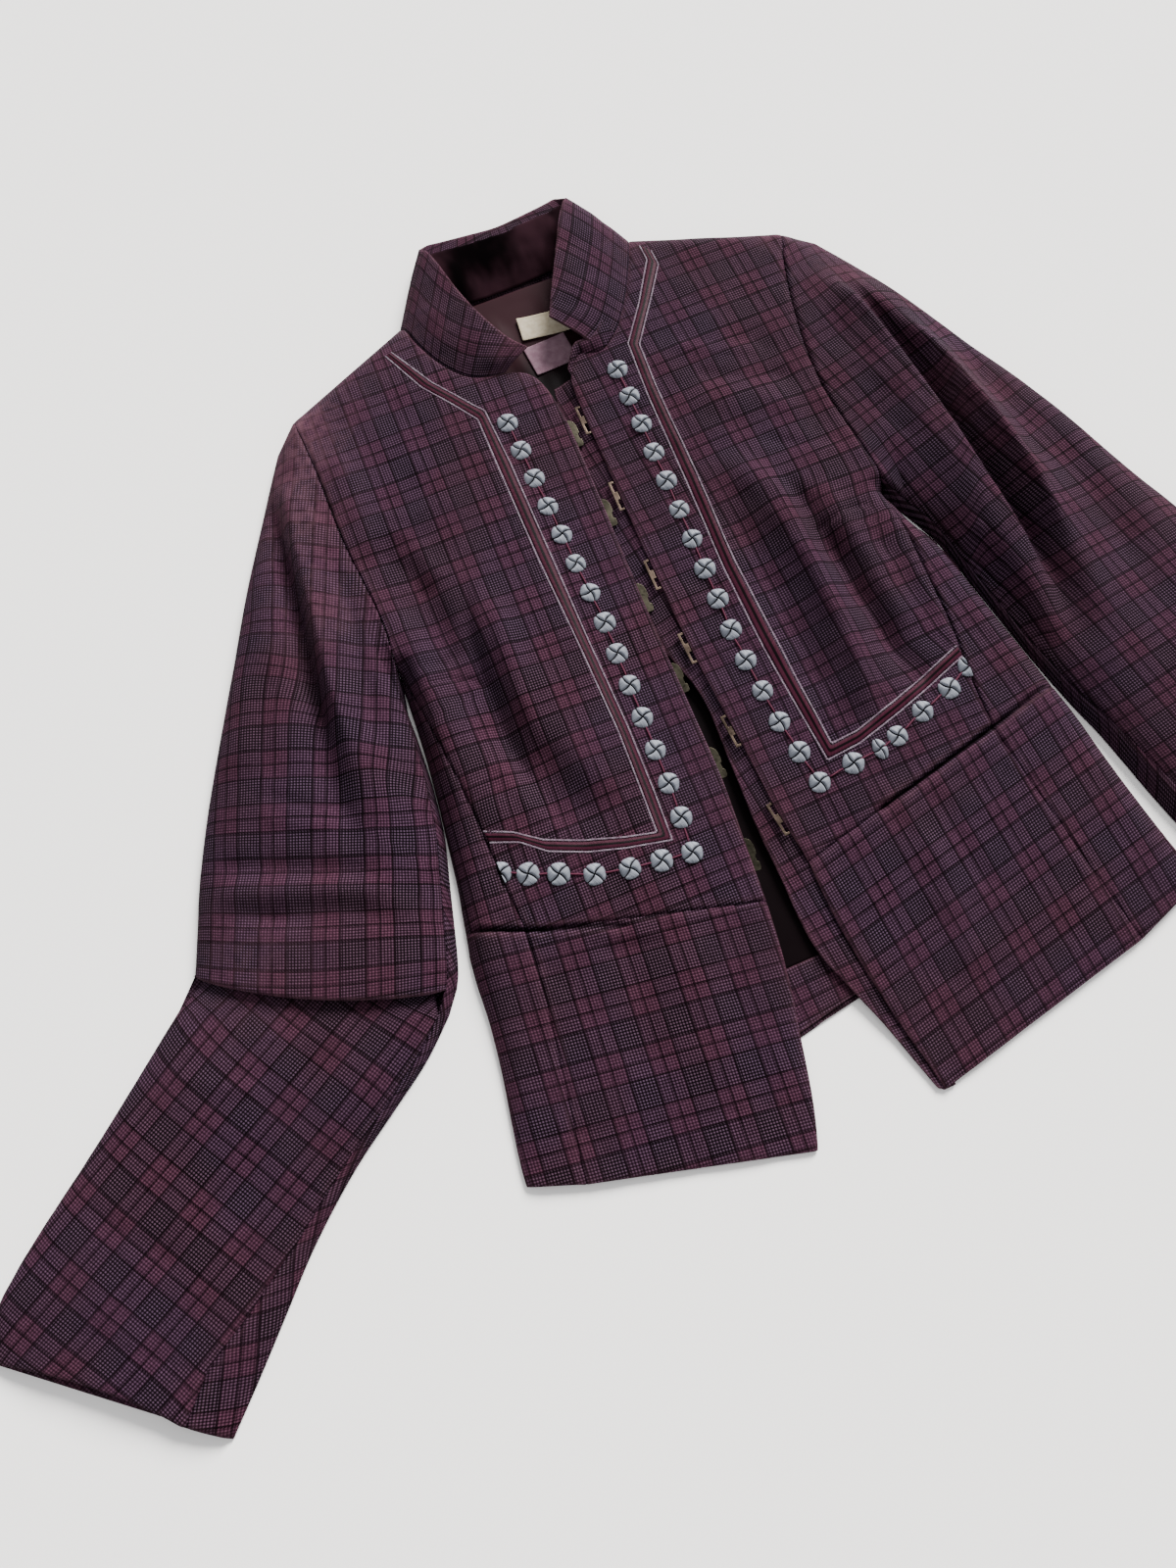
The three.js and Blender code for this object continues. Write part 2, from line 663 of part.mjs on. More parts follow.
const rightUpper = [armholeRow(right, -1), ...rightUpperArm.map((row) => sleeveRow(row, rightSleeveFolds))];
const rightLower = rightForearm.map((row) => sleeveRow(row, rightSleeveFolds));
const leftRows = [armholeRow(left, 1), ...refined(leftArm).map((row) => sleeveRow(row, leftSleeveFolds))];

// Rows of the tucked stretch, inside the upper arm
function tuckRow(share, crown) {
  const firstRow = rightForearm[0];
  const lastRow = rightUpperArm[rightUpperArm.length - 1];
  const axis = [0, 1].map((i) => (firstRow[i] + firstRow[i + 2] - lastRow[i] - lastRow[i + 2]) / 2);
  const size = Math.hypot(...axis);
  const [dx, dy] = axis.map((value) => (value / size) * (foldReach - tuckDepth * share));
  const outer = [lastRow[0] + dx, lastRow[1] + dy];
  const inner = [lastRow[2] + dx, lastRow[3] + dy];
  const row = [...moved(outer, inner, tuckInset), ...moved(inner, outer, tuckInset), crown, firstRow[5]];
  return sleeveRow(row, []);
}

const lastUpper = rightUpper.length - 1;
addSleevePart('sleeve_top_right', [
  ...rightUpper.map(topColumns),
  ...foldOver(rightUpper[lastUpper], rightUpper[lastUpper - 1]),
]);
const tucked = [tuckRow(1, 12), tuckRow(0.45, 13), tuckRow(-0.06, 13.6)];
addSleevePart('sleeve_fore_right', [...tucked, ...rightLower].map(topColumns));
addSleevePart('sleeve_under_right', [...rightUpper, ...rightLower].map(underColumns));
addSleevePart('sleeve_top_left', leftRows.map(topColumns));
addSleevePart('sleeve_under_left', leftRows.map(underColumns));

// Collar: stations round the neck from the right leaf's tip to the left leaf's tip
function leafStations(side, tops) {
  return tops.map((top, i) => {
    const row = side.bodice[i];
    const base = moved(row.slice(0, 2), row.slice(2, 4), -halfGap);
    return { base: [...base, side.heightAt(...row.slice(0, 2))], top };
  });
}

const backStations = backCollar.map((row) => ({ base: row.slice(0, 3), top: row.slice(3) }));
const stations = [
  ...leafStations(right, rightLeafTop).reverse(),
  ...backStations,
  ...leafStations(left, leftLeafTop),
];

function collarGrid(list, share) {
  return list.map(({ base, top }) => {
    const line = [];
    for (let r = 0; r < collarRows; r += 1) {
      const t = (r / (collarRows - 1)) * share;
      const [x, y, z] = mixPoint(base, top, t);
      line.push([x, y, z + collarBulge * Math.sin(Math.PI * t)]);
    }
    return line;
  });
}

// Grid moved along its own normals
function offsetGrid(grid, depth) {
  const vector = (r, c) => new THREE.Vector3(...grid[r][c]);
  return grid.map((line, r) => line.map((point, c) => {
    const [r0, r1] = [Math.max(r - 1, 0), Math.min(r + 1, grid.length - 1)];
    const [c0, c1] = [Math.max(c - 1, 0), Math.min(c + 1, line.length - 1)];
    const along = vector(r1, c).sub(vector(r0, c));
    const across = vector(r, c1).sub(vector(r, c0));
    const normal = along.cross(across).normalize();
    return vector(r, c).addScaledVector(normal, depth).toArray();
  }));
}

const collarOuter = collarGrid(stations, 1);
addNode('collar', wallGeometry(collarOuter, offsetGrid(collarOuter, wall)), 'cloth');

const firstBack = rightLeafTop.length;
const velvetGrid = collarGrid(stations, velvetShare);
const lastBack = firstBack + backStations.length;
const velvetLayer = (depth) => offsetGrid(velvetGrid, depth).slice(firstBack, lastBack);
const velvetDepth = wall + layerGap + halfGap;
const velvetWall = wallGeometry(velvetLayer(velvetDepth), velvetLayer(velvetDepth + liningWall));
addNode('collar_lining', velvetWall, 'velvet');

// Underlap strip: tucked below the left front's edge, then out to its own edge
const leftEdge = [...leftBodice.slice(9), ...leftSkirt.slice(1)].map((row) => row.slice(0, 2));
const underlapGrid = underlapEdge.map(([x, y, z], i) => {
  const [edgeX, edgeY] = leftEdge[i];
  const line = [edgeX + underlapTuck, edgeX + underlapTuck / 2, edgeX - 0.5].map((px) => {
    const below = Math.min(...[px - 2, px, px + 2].map((at) => left.heightAt(at, edgeY)));
    return [px, edgeY, Math.max(below - wall - layerGap, wall + layerGap)];
  });
  const [, , edgeZ] = line[2];
  const between = [mix(edgeX, x, 0.5), mix(edgeY, y, 0.5), mix(edgeZ, z, 0.6)];
  return [...line, between, [x, y, Math.max(z, wall + halfGap)]];
});
addNode('underlap', wallGeometry(underlapGrid, lowered(underlapGrid, wall)), 'cloth');

// Height of a panel's own facets at a point
function facetHeight(grid, x, y) {
  for (let r = 0; r + 1 < grid.length; r += 1) {
    for (let c = 0; c + 1 < grid[0].length; c += 1) {
      const corners = [grid[r][c], grid[r][c + 1], grid[r + 1][c + 1], grid[r + 1][c]];
      const flip = spread(corners[0], corners[2]) > spread(corners[1], corners[3]) ? 1 : 0;
      const [a, b, s, d] = [0, 1, 2, 3].map((step) => corners[(step + flip) % 4]);
      for (const triangle of [[a, b, s], [a, s, d]]) {
        const z = triangleHeight(triangle, x, y);
        if (z !== null) return z;
      }
    }
  }
  return null;
}

function triangleHeight([a, b, c], x, y) {
  const area = (b[0] - a[0]) * (c[1] - a[1]) - (c[0] - a[0]) * (b[1] - a[1]);
  const u = ((x - a[0]) * (c[1] - a[1]) - (c[0] - a[0]) * (y - a[1])) / area;
  const v = ((b[0] - a[0]) * (y - a[1]) - (x - a[0]) * (b[1] - a[1])) / area;
  if (u < -1e-6 || v < -1e-6 || u + v > 1 + 1e-6) return null;
  return a[2] + u * (b[2] - a[2]) + v * (c[2] - a[2]);
}

// Raised pieces on a panel keep clear of every facet below them
const wasm = await Module();
wasm.setup();

function toManifold(geometry) {
  const bare = geometry.clone();
  bare.deleteAttribute('normal');
  bare.deleteAttribute('uv');
  const merged = mergeVertices(bare, 1e-4);
  const vertProperties = new Float32Array(merged.attributes.position.array);
  const triVerts = new Uint32Array(merged.index.array);
  return new wasm.Manifold(new wasm.Mesh({ numProp: 3, vertProperties, triVerts }));
}

function fromManifold(solid) {
  const mesh = solid.getMesh();
  const geometry = new THREE.BufferGeometry();
  geometry.setAttribute('position', new THREE.Float32BufferAttribute(mesh.vertProperties, 3));
  geometry.setIndex([...mesh.triVerts]);
  return geometry;
}

// Lid over a plan outline: its foot clears the facets, and its top is drawn in
function raised(grid, outline, centre, height, drawIn) {
  const inside = outline.map((point) => [point, mixPoint(centre, point, 0.5)]).flat().concat([centre]);
  const heights = outline.map(([x, y]) => facetHeight(grid, x, y));
  const middle = facetHeight(grid, ...centre);
  if (middle === null || heights.some((z) => z === null)) throw new Error(`off the panel at ${centre}`);
  const slopes = planeThrough(outline, heights, centre, middle);
  const lift = Math.max(...inside.map(([x, y]) => facetHeight(grid, x, y) - slopes(x, y)));
  const foot = outline.map(([x, y]) => [x, y, slopes(x, y) + lift + layerGap]);
  const top = outline.map(([x, y]) => {
    const [tx, ty] = mixPoint(centre, [x, y], drawIn);
    return [tx, ty, slopes(tx, ty) + lift + layerGap + height * 0.8];
  });
  const count = outline.length;
  const crown = [...centre, slopes(...centre) + lift + layerGap + height];
  const under = [...centre, slopes(...centre) + lift + layerGap];
  const points = [...foot, ...top, crown, under];
  const faces = [];
  for (let i = 0; i < count; i += 1) {
    const next = (i + 1) % count;
    faces.push([i, next, next + count], [i, next + count, i + count]);
    faces.push([i + count, next + count, 2 * count], [next, i, 2 * count + 1]);
  }
  return solidGeometry(points, faces);
}

// Least-squares plane through the outline's heights
function planeThrough(outline, heights, centre, middle) {
  let [sxx, syy, sxy, sxz, syz] = [0, 0, 0, 0, 0];
  outline.forEach(([x, y], i) => {
    const [dx, dy, dz] = [x - centre[0], y - centre[1], heights[i] - middle];
    sxx += dx * dx;
    syy += dy * dy;
    sxy += dx * dy;
    sxz += dx * dz;
    syz += dy * dz;
  });
  const scale = sxx * syy - sxy * sxy;
  const a = (sxz * syy - syz * sxy) / scale;
  const b = (syz * sxx - sxz * sxy) / scale;
  return (x, y) => middle + a * (x - centre[0]) + b * (y - centre[1]);
}

function addDiscs(name, grid, side, discs, seamSign) {
  const spots = [];
  for (let i = 0; i < discs.count; i += 1) spots.push([...pointAt(discs.line, i / (discs.count - 1)), 1]);
  spots.push(...discs.waist);
  const seamRows = side.bodice.slice(side.underarm).map((row) => [row[3], row[2]]);
  const seamX = (y) => tableAt(seamRows, y)[0] - seamSign * (halfGap + layerGap);
  const solids = spots.map(([centreX, centreY, share]) => {
    const outline = [];
    for (let i = 0; i < discSides; i += 1) {
      const angle = ((i + 0.5) * 2 * Math.PI) / discSides;
      const y = centreY + discRadius * Math.sin(angle);
      const x = centreX + discRadius * share * Math.cos(angle);
      outline.push([seamSign * Math.min(seamSign * x, seamSign * seamX(y)), y]);
    }
    const middle = [0, 1].map((k) => outline.reduce((sum, point) => sum + point[k], 0) / discSides);
    return toManifold(raised(grid, outline, middle, discHeight, discDrawIn));
  });
  for (let i = 0; i + 1 < spots.length; i += 1) {
    const [from, to] = [spots[i].slice(0, 2), spots[i + 1].slice(0, 2)];
    const a = moved(from, to, discRadius * spots[i][2] - threadOverlap);
    const b = moved(to, from, discRadius * spots[i + 1][2] - threadOverlap);
    const across = [(b[1] - a[1]) / distance(a, b), (a[0] - b[0]) / distance(a, b)];
    const edge = (point, sign) => [0, 1].map((k) => point[k] + (sign * across[k] * threadWidth) / 2);
    const outline = [edge(a, -1), edge(b, -1), edge(b, 1), edge(a, 1)];
    solids.push(toManifold(raised(grid, outline, mixPoint(a, b, 0.5), threadHeight, threadDrawIn)));
  }
  const whole = solids.reduce((sum, solid) => sum.add(solid));
  addNode(name, fromManifold(whole), 'silk');
}

addDiscs('discs_right', rightBody.front, right, rightDiscs, -1);
addDiscs('discs_left', leftBody.front, left, leftDiscs, 1);

// Hooks and eyes: flat plates lying along the front edges
function edgeTangent(line, place) {
  const index = line.findIndex((point, i) => i > 0 && point[1] <= place[1]);
  const [a, b] = [line[index - 1], line[index]];
  const turn = Math.atan2(a[1] - b[1], a[0] - b[0]) - Math.PI / 2;
  const x = mix(a[0], b[0], (a[1] - place[1]) / (a[1] - b[1]));
  return { turn, x };
}

function addPlate(name, outline, line, place, offset, top, finish) {
  const { turn, x } = edgeTangent(line, place);
  const shape = new THREE.Shape(outline.map(([px, py]) => new THREE.Vector2(px, py - hookLength / 2)));
  const geometry = new THREE.ExtrudeGeometry(shape, { depth: hookWall, bevelEnabled: false });
  const mesh = addNode(name, geometry, finish);
  mesh.position.set(x + offset, place[1], top - hookWall);
  mesh.rotation.z = turn;
}

const rightEdge = [...rightBodice.slice(8), ...rightSkirt.slice(1)].map((row) => row.slice(0, 2));
const reach = hookLength / 2;
hookPlaces.forEach((place, i) => {
  const { x } = edgeTangent(rightEdge, place);
  const lows = [-reach, 0, reach].map((dy) => right.heightAt(x - 2, place[1] + dy));
  const top = Math.min(...lows) - wall - hookBelow;
  addPlate(`hook_${i + 1}`, hookOutline, rightEdge, place, 0, top, 'darkMetal');
});
eyePlaces.forEach((place, i) => {
  const { x } = edgeTangent(leftEdge, place);
  const highs = [-reach, 0, reach].map((dy) => left.heightAt(x, place[1] + dy) - wall - layerGap);
  const top = Math.max(...highs) + eyeAbove + hookWall;
  addPlate(`eye_${i + 1}`, eyeOutline, leftEdge, place, eyeInset, top, 'brass');
});

export default jacket;
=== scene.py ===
import math
import bmesh
import bpy
import numpy as np
from mathutils import Matrix, Vector


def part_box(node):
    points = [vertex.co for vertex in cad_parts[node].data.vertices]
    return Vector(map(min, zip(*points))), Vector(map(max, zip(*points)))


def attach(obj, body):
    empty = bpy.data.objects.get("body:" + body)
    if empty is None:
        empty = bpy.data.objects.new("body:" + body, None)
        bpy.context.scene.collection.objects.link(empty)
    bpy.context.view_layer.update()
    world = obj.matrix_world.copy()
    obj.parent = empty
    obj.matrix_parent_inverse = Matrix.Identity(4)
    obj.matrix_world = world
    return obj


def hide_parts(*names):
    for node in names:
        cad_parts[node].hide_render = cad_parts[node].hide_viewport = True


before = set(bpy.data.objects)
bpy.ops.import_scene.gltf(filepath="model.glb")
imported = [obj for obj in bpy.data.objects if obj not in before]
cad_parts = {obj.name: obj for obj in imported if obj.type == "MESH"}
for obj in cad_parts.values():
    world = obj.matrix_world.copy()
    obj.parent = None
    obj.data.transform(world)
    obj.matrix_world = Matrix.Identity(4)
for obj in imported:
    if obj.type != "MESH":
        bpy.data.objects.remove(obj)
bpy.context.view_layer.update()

# Embroidered jacket, laid flat on its back. The tables are in millimetres, in the plan of the
# pattern: x across, y towards the collar, z up from the table. metres() moves them into the frame.
# Right and left are the wearer's, so the wearer's right lies at -x.
layout = {"shiftX": 59.5, "shiftY": 200.5}


def metres(points):
    return (np.asarray(points, float) + (layout["shiftX"], layout["shiftY"], 0)) / 1000


# The garment's own tables

# Height of the cloth down the body: y, right front, left front, flank
fullness = np.array([
    (120, 16, 16, 17), (0, 15.5, 15.5, 19), (-150, 14, 14, 19), (-250, 13.5, 13.5, 17.5), (-330, 12.5, 12.5, 14.5),
    (-380, 10.5, 10.5, 11.5), (-420, 8, 8.8, 9.2), (-450, 5.6, 7.6, 7.5), (-480, 3.8, 5.8, 5.4), (-500, 3, 5, 4.4),
    (-530, 2.2, 4.4, 3.6)], float)

# Rows down each bodice: x and y of the front edge, then of the side seam
rightBodice = [
    (-95, 105, -191, 62), (-94, 99, -190.8, 57), (-92, 89, -190.3, 48), (-87.5, 73, -189.6, 33),
    (-78, 54, -189, 11),
    (-66, 41, -189.5, -14), (-53, 35.5, -190, -39), (-41, 33.5, -189, -62), (-27, 28, -187, -84),
    (-19, 12, -186, -104),
    (-16, -20, -186.3, -122), (-17, -55, -188, -138), (-18.5, -90, -188.9, -150), (-20, -118, -185, -171),
    (-21.5, -155, -182, -201), (-23, -200, -179.5, -232), (-24, -248, -178, -262), (-25.5, -295, -177.5, -290),
    (-29.5, -338, -177, -314), (-33, -376, -176, -336)]
leftBodice = [
    (86, 111, 190.5, 73), (84.2, 105.5, 188.8, 67.5), (80.8, 97, 185.6, 58.5), (74, 82, 179.6, 44),
    (65, 65, 172.4, 22),
    (54.5, 48.5, 166, -2), (43, 34.5, 161, -28), (28, 25, 158, -53), (12, 29, 158, -76), (0, 13, 160, -98),
    (-3, -15, 162, -118), (-4, -48, 163.5, -134), (-5, -82, 163.5, -149.5), (-6, -112, 161.5, -173),
    (-6.5, -150, 159.5, -199), (-7, -192, 158, -227), (-6, -236, 156.5, -255), (-4, -280, 153, -284),
    (-2.5, -325, 150, -309), (2, -364, 149, -331)]
rightSideEdge = [
    (-189.7, -151.5), (-190.9, -173), (-193, -203), (-196.6, -235), (-201, -265), (-205, -292), (-209, -312),
    (-211, -322)]
leftSideEdge = [
    (164.3, -151.5), (171.2, -174), (181.8, -201), (187.4, -231), (192, -260), (197, -288), (200.5, -309),
    (202.5, -320)]
# Rows down each skirt: x and y of the front edge, the seam and the side edge
rightSkirt = [
    (-33, -376, -176, -336, -211, -322), (-36, -400, -178.5, -363, -215.5, -348),
    (-41, -428, -183, -393, -217.5, -378),
    (-47.5, -455, -188, -423, -221.5, -408), (-54, -482, -193, -451, -227, -438),
    (-60.5, -504, -197, -471, -230.5, -459),
    (-67, -521, -199.5, -485, -232, -473)]
leftSkirt = [
    (2, -364, 149, -331, 202.5, -320), (1.5, -392, 152, -357, 206.5, -345), (3, -420, 156, -385, 209.5, -374),
    (6, -447, 160, -413, 213, -402), (10, -474, 164, -441, 217, -429), (14.5, -498, 168, -466, 221, -452),
    (18, -519, 171, -487, 224, -468)]

# Folds: crest height, half width and the line followed. The first ones are the solid's own, the creases are finer
rightFolds = [
    (-4.5, 15, [(-166, -50), (-159, -111), (-144, -192), (-122, -262), (-110, -300)]),
    (3.2, 13, [(-172, -100), (-174, -170), (-170, -230), (-160, -290)]),
    (4.0, 17, [(-138, -78), (-122, -152), (-108, -223), (-98, -290)]),
    (2.4, 12, [(-176, 20), (-172, -20), (-176, -70)]),
    (-1.6, 12, [(-120, -345), (-128, -400), (-138, -450)]),
    (1.5, 14, [(-90, -372), (-96, -420), (-104, -470)])]
leftFolds = [
    (6.5, 12, [(76, -80), (84, -130), (87, -195), (84, -258), (76, -300)]),
    (-4.2, 11, [(106, -150), (113, -200), (117, -250), (121, -304)]),
    (-2.6, 10, [(58, -110), (60, -170), (60, -230), (54, -285)]),
    (2.2, 14, [(66, -40), (104, -52), (146, -72)]),
    (-2.0, 12, [(128, 10), (134, -50), (146, -110)]),
    (1.8, 11, [(72, -370), (71, -420), (66, -470)])]
rightSleeveFolds = [
    (6.5, 14, [(-206, 24), (-215, -24), (-220, -82), (-227, -139), (-232, -190), (-235, -250)]),
    (-6, 11, [(-220, 10), (-231, -42), (-239, -99), (-246, -150), (-252, -205), (-255, -262)]),
    (3.5, 16, [(-240, -22), (-264, -76), (-290, -130), (-312, -184)]),
    (-3.0, 7, [(-346, -222), (-313, -237), (-276, -254), (-238, -270)]),
    (2.2, 7, [(-350, -238), (-314, -253), (-274, -268), (-236, -286)]),
    (-2.4, 7, [(-352, -252), (-312, -270), (-273, -284), (-235, -306)]),
    (-2.0, 12, [(-300, -345), (-350, -385), (-400, -430)])]
leftSleeveFolds = [
    (6, 14, [(194, 40), (203, -8), (210, -50), (215, -120), (219, -186), (218, -240), (211, -300)]),
    (-7.5, 12, [(212, 4), (222, -56), (229, -112), (233, -170), (236, -222), (232, -270), (224, -320)]),
    (6, 13, [(216, 20), (229, -28), (242, -86), (250, -134), (254, -190), (252, -240), (244, -320)]),
    (-6, 11, [(180, -180), (194, -226), (202, -270), (206, -330)]),
    (-4.5, 14, [(246, -4), (262, -64), (276, -122), (286, -186), (288, -252), (284, -330)]),
    (3.5, 15, [(276, -70), (300, -140), (316, -210), (326, -280)]),
    (-3.2, 10, [(352, -330), (310, -352), (260, -388)]),
    (2.2, 12, [(312, -385), (332, -440), (346, -498)])]
rightCreases = [
    (-3.4, 6, [(-126, -100), (-138, -150), (-141, -210), (-136, -262)]),
    (2.8, 7, [(-112, -120), (-122, -180), (-124, -240)]),
    (-1.5, 1.6, [(-179, -166), (-162, -165), (-147, -171), (-135, -183)]),
    (-1.6, 6, [(-170, -60), (-158, -84), (-150, -112)]), (1.4, 6, [(-158, -46), (-146, -74), (-138, -104)]),
    (-0.9, 4, [(-178, -150), (-160, -154), (-140, -150)]), (0.8, 5, [(-170, -35), (-140, -48), (-112, -44)]),
    (-1.1, 6, [(-176, -52), (-150, -66), (-120, -60)]), (-1.4, 5, [(-150, -200), (-138, -245), (-124, -292)]),
    (1.0, 4, [(-160, -215), (-148, -255), (-138, -285)]), (-0.8, 5, [(-60, -30), (-48, -90), (-46, -160)]),
    (0.7, 6, [(-104, 60), (-122, 20), (-128, -30)]), (-0.9, 5, [(-96, -376), (-118, -372), (-140, -366)]),
    (0.9, 4, [(-150, -352), (-120, -362), (-96, -370)]), (-0.6, 6, [(-70, -400), (-76, -450), (-84, -500)])]
leftCreases = [
    (3.4, 6, [(90, -96), (92, -160), (90, -230), (84, -290)]),
    (-4.2, 6, [(103, -110), (110, -170), (113, -230), (115, -280)]),
    (-1.5, 1.6, [(102, -162), (127, -157), (148, -158)]), (2.0, 6, [(124, -130), (128, -190), (132, -250)]),
    (-1.8, 6, [(140, -170), (144, -220), (146, -262)]),
    (1.3, 5, [(80, -120), (86, -180), (85, -240)]), (-1.6, 5, [(98, -130), (104, -180), (106, -230)]),
    (-1.2, 5, [(130, -190), (134, -230), (138, -270)]), (0.9, 5, [(70, 10), (100, -8), (136, -20)]),
    (-1.0, 6, [(76, -20), (106, -34), (150, -48)]), (-0.9, 5, [(96, -84), (126, -100), (156, -108)]),
    (0.8, 4, [(30, -20), (22, -80), (16, -140)]), (-0.7, 5, [(60, -336), (90, -332), (120, -322)]),
    (1.2, 5, [(70, -352), (76, -380), (80, -410)]), (-1.0, 6, [(92, -352), (96, -390), (98, -430)])]
rightSleeveCreases = [
    (-6.4, 4.6, [(-224, 14), (-231, -34), (-236, -88), (-243, -140), (-248, -190)]),
    (3.8, 5, [(-212, 20), (-220, -34), (-225, -88), (-231, -140), (-235, -200)]),
    (-2.6, 6, [(-196, -64), (-204, -100), (-212, -150), (-218, -200)]),
    (2.4, 8, [(-262, -20), (-284, -80), (-304, -140)]),
    (-2.0, 7, [(-282, -40), (-304, -96), (-322, -150)]), (0.9, 5, [(-204, -20), (-196, -52), (-192, -84)]),
    (-1.0, 5, [(-196, -44), (-206, -70), (-214, -96)]), (-1.1, 4, [(-300, -190), (-270, -214), (-244, -222)]),
    (1.0, 4, [(-306, -204), (-274, -226), (-246, -236)]), (-0.9, 5, [(-330, -262), (-300, -280), (-262, -300)]),
    (-1.0, 5, [(-262, -110), (-280, -150), (-292, -190)]), (0.8, 5, [(-400, -330), (-380, -350), (-352, -364)]),
    (-0.9, 6, [(-470, -380), (-450, -410), (-424, -440)]), (0.9, 5, [(-440, -400), (-462, -430), (-480, -456)])]
leftSleeveCreases = [
    (-6.8, 5, [(206, 22), (217, -20), (224, -60), (229, -110), (233, -170), (235, -220), (232, -280)]),
    (3.6, 5, [(198, 20), (209, -20), (216, -60), (221, -110), (225, -170), (227, -220), (224, -280)]),
    (3.6, 5, [(230, -30), (242, -80), (250, -130), (254, -190), (251, -240)]),
    (-2.6, 7, [(262, -80), (268, -130), (271, -190)]),
    (-3.4, 7, [(196, -220), (202, -256), (206, -300)]), (2.2, 9, [(282, -60), (300, -120), (312, -180)]),
    (1.3, 5, [(205, 10), (214, -50), (220, -110), (222, -180)]),
    (1.1, 4, [(232, -30), (246, -90), (252, -150), (254, -200)]), (0.8, 5, [(176, -40), (190, -62), (200, -90)]),
    (-0.9, 5, [(170, -70), (184, -98), (196, -130)]), (1.6, 5, [(186, -196), (196, -206), (208, -204)]),
    (-1.2, 5, [(262, -60), (272, -110), (280, -160)]), (-0.8, 6, [(330, -380), (300, -400), (270, -420)])]

# Rows down each arm: x and y of the outer and the inner edge, crown, the seam's share of the width, bow
rightUpperArm = [
    (-210, 41, -193.4, -172, 21, 0.97, 0), (-231, 5, -194.2, -196, 22, 0.97, 0),
    (-262, -49, -196.6, -227, 22.5, 0.97, 0),
    (-288, -99, -201.4, -258, 23, 0.97, 0), (-313, -146, -209.5, -288, 23, 0.97, 0),
    (-334, -187, -216, -312, 22.5, 0.97, 2),
    (-352, -227, -221, -330, 22, 0.97, 4), (-363, -257, -225, -342, 21.5, 0.97, 7),
    (-372, -281, -229, -350, 20.5, 0.97, 10)]
rightForearm = [
    (-387, -297, -239, -363, 14.5, 0.97, 8), (-404, -311, -261, -383, 15, 0.97, 5),
    (-433, -335, -290, -403, 15, 0.97, 0),
    (-464, -360, -322, -425, 14, 0.965, 0), (-494, -383, -356, -454, 13, 0.945, 0),
    (-517, -402, -384, -483, 12, 0.887, 0),
    (-533, -419, -408, -508, 11, 0.827, 0), (-541, -444, -431, -531, 10, 0.823, 0)]
leftArm = [
    (212, 56, 173, -169, 22, 0.97, 0), (236, 16, 184, -198, 24, 0.97, 0), (257, -24, 190, -233, 25, 0.97, 0),
    (278, -71, 196, -268, 25, 0.97, 0), (297, -114, 202, -302, 25, 0.97, 0), (314, -157, 209, -334, 24.5, 0.97, 0),
    (330, -201, 216, -360, 24, 0.96, 0), (345, -238, 221, -384, 23, 0.95, 0), (359, -280, 226, -409, 22, 0.94, 0),
    (372, -326, 233, -438, 20.5, 0.93, 0), (384, -372, 243, -469, 18.5, 0.92, 0),
    (396, -418, 254, -499, 16, 0.91, 0),
    (408, -462, 266, -527, 13.5, 0.9, 0), (417, -498, 280, -552, 11.5, 0.89, 0),
    (422, -519, 294, -566, 10, 0.88, 0)]

# Where the check lies on each part: a crossing of two bands, one repeat across and one along
grains = {
    "front_right": {"origin": (-94, -212), "across": (30.8, 0), "along": (1.2, 35.5)},
    "front_left": {"origin": (59, -258), "across": (31.2, 0.5), "along": (-0.6, 35.5)},
    "side_right": {"origin": (-190, -212), "across": (30.8, -2), "along": (3.5, 35.3)},
    "side_left": {"origin": (170, -258), "across": (31, 4), "along": (-5, 35.2)},
    "skirt_right": {"origin": (-126.5, -401), "across": (31.5, -4.6), "along": (3, 36)},
    "skirt_left": {"origin": (35, -402), "across": (31, 6.4), "along": (-2.2, 36.2)},
    "underlap": {"origin": (-12, -404), "across": (31, 2), "along": (-3, 35.5)},
    "sleeve_right": {"origin": (-295, -215), "across": (30.3, -11.3), "along": (12, 33.7)},
    "forearm_right": {"origin": (-358, -350), "across": (16, -27), "along": (32.5, 17.5)},
    "sleeve_left": {"origin": (289, -182), "across": (31, 5), "along": (-7, 34)},
    "back": {"origin": (-8, -404), "across": (31, 0), "along": (0, 35.5)}}


# Plane and table helpers

def smooth(t):
    t = np.clip(t, 0, 1)
    return t * t * (3 - 2 * t)


def nearLine(line, x, y):
    # distance to a line of points, and how far along it as a share
    best = np.full(np.shape(x), 1e9)
    share = np.zeros(np.shape(x))
    for i, ((ax, ay), (bx, by)) in enumerate(zip(line, line[1:])):
        dx, dy = bx - ax, by - ay
        t = np.clip(((x - ax) * dx + (y - ay) * dy) / (dx * dx + dy * dy), 0, 1)
        away = np.hypot(x - ax - dx * t, y - ay - dy * t)
        nearer = away < best
        best = np.where(nearer, away, best)
        share = np.where(nearer, (i + t) / (len(line) - 1), share)
    return best, share


def foldsAt(folds, x, y):
    height = np.zeros(np.shape(x))
    for size, width, line in folds:
        away, share = nearLine(line, x, y)
        height = height + size * np.exp(-((away / width) ** 2)) * smooth(6 * share * (1 - share))
    return height


# Openings of the two pockets, in the waist seams
pocketSlits = [
    [(-209, -321), (-184, -332), (-163, -341), (-140, -348), (-113, -358)],
    [(199, -318), (182, -322), (148, -331), (106, -341), (75, -348), (54, -352)]]

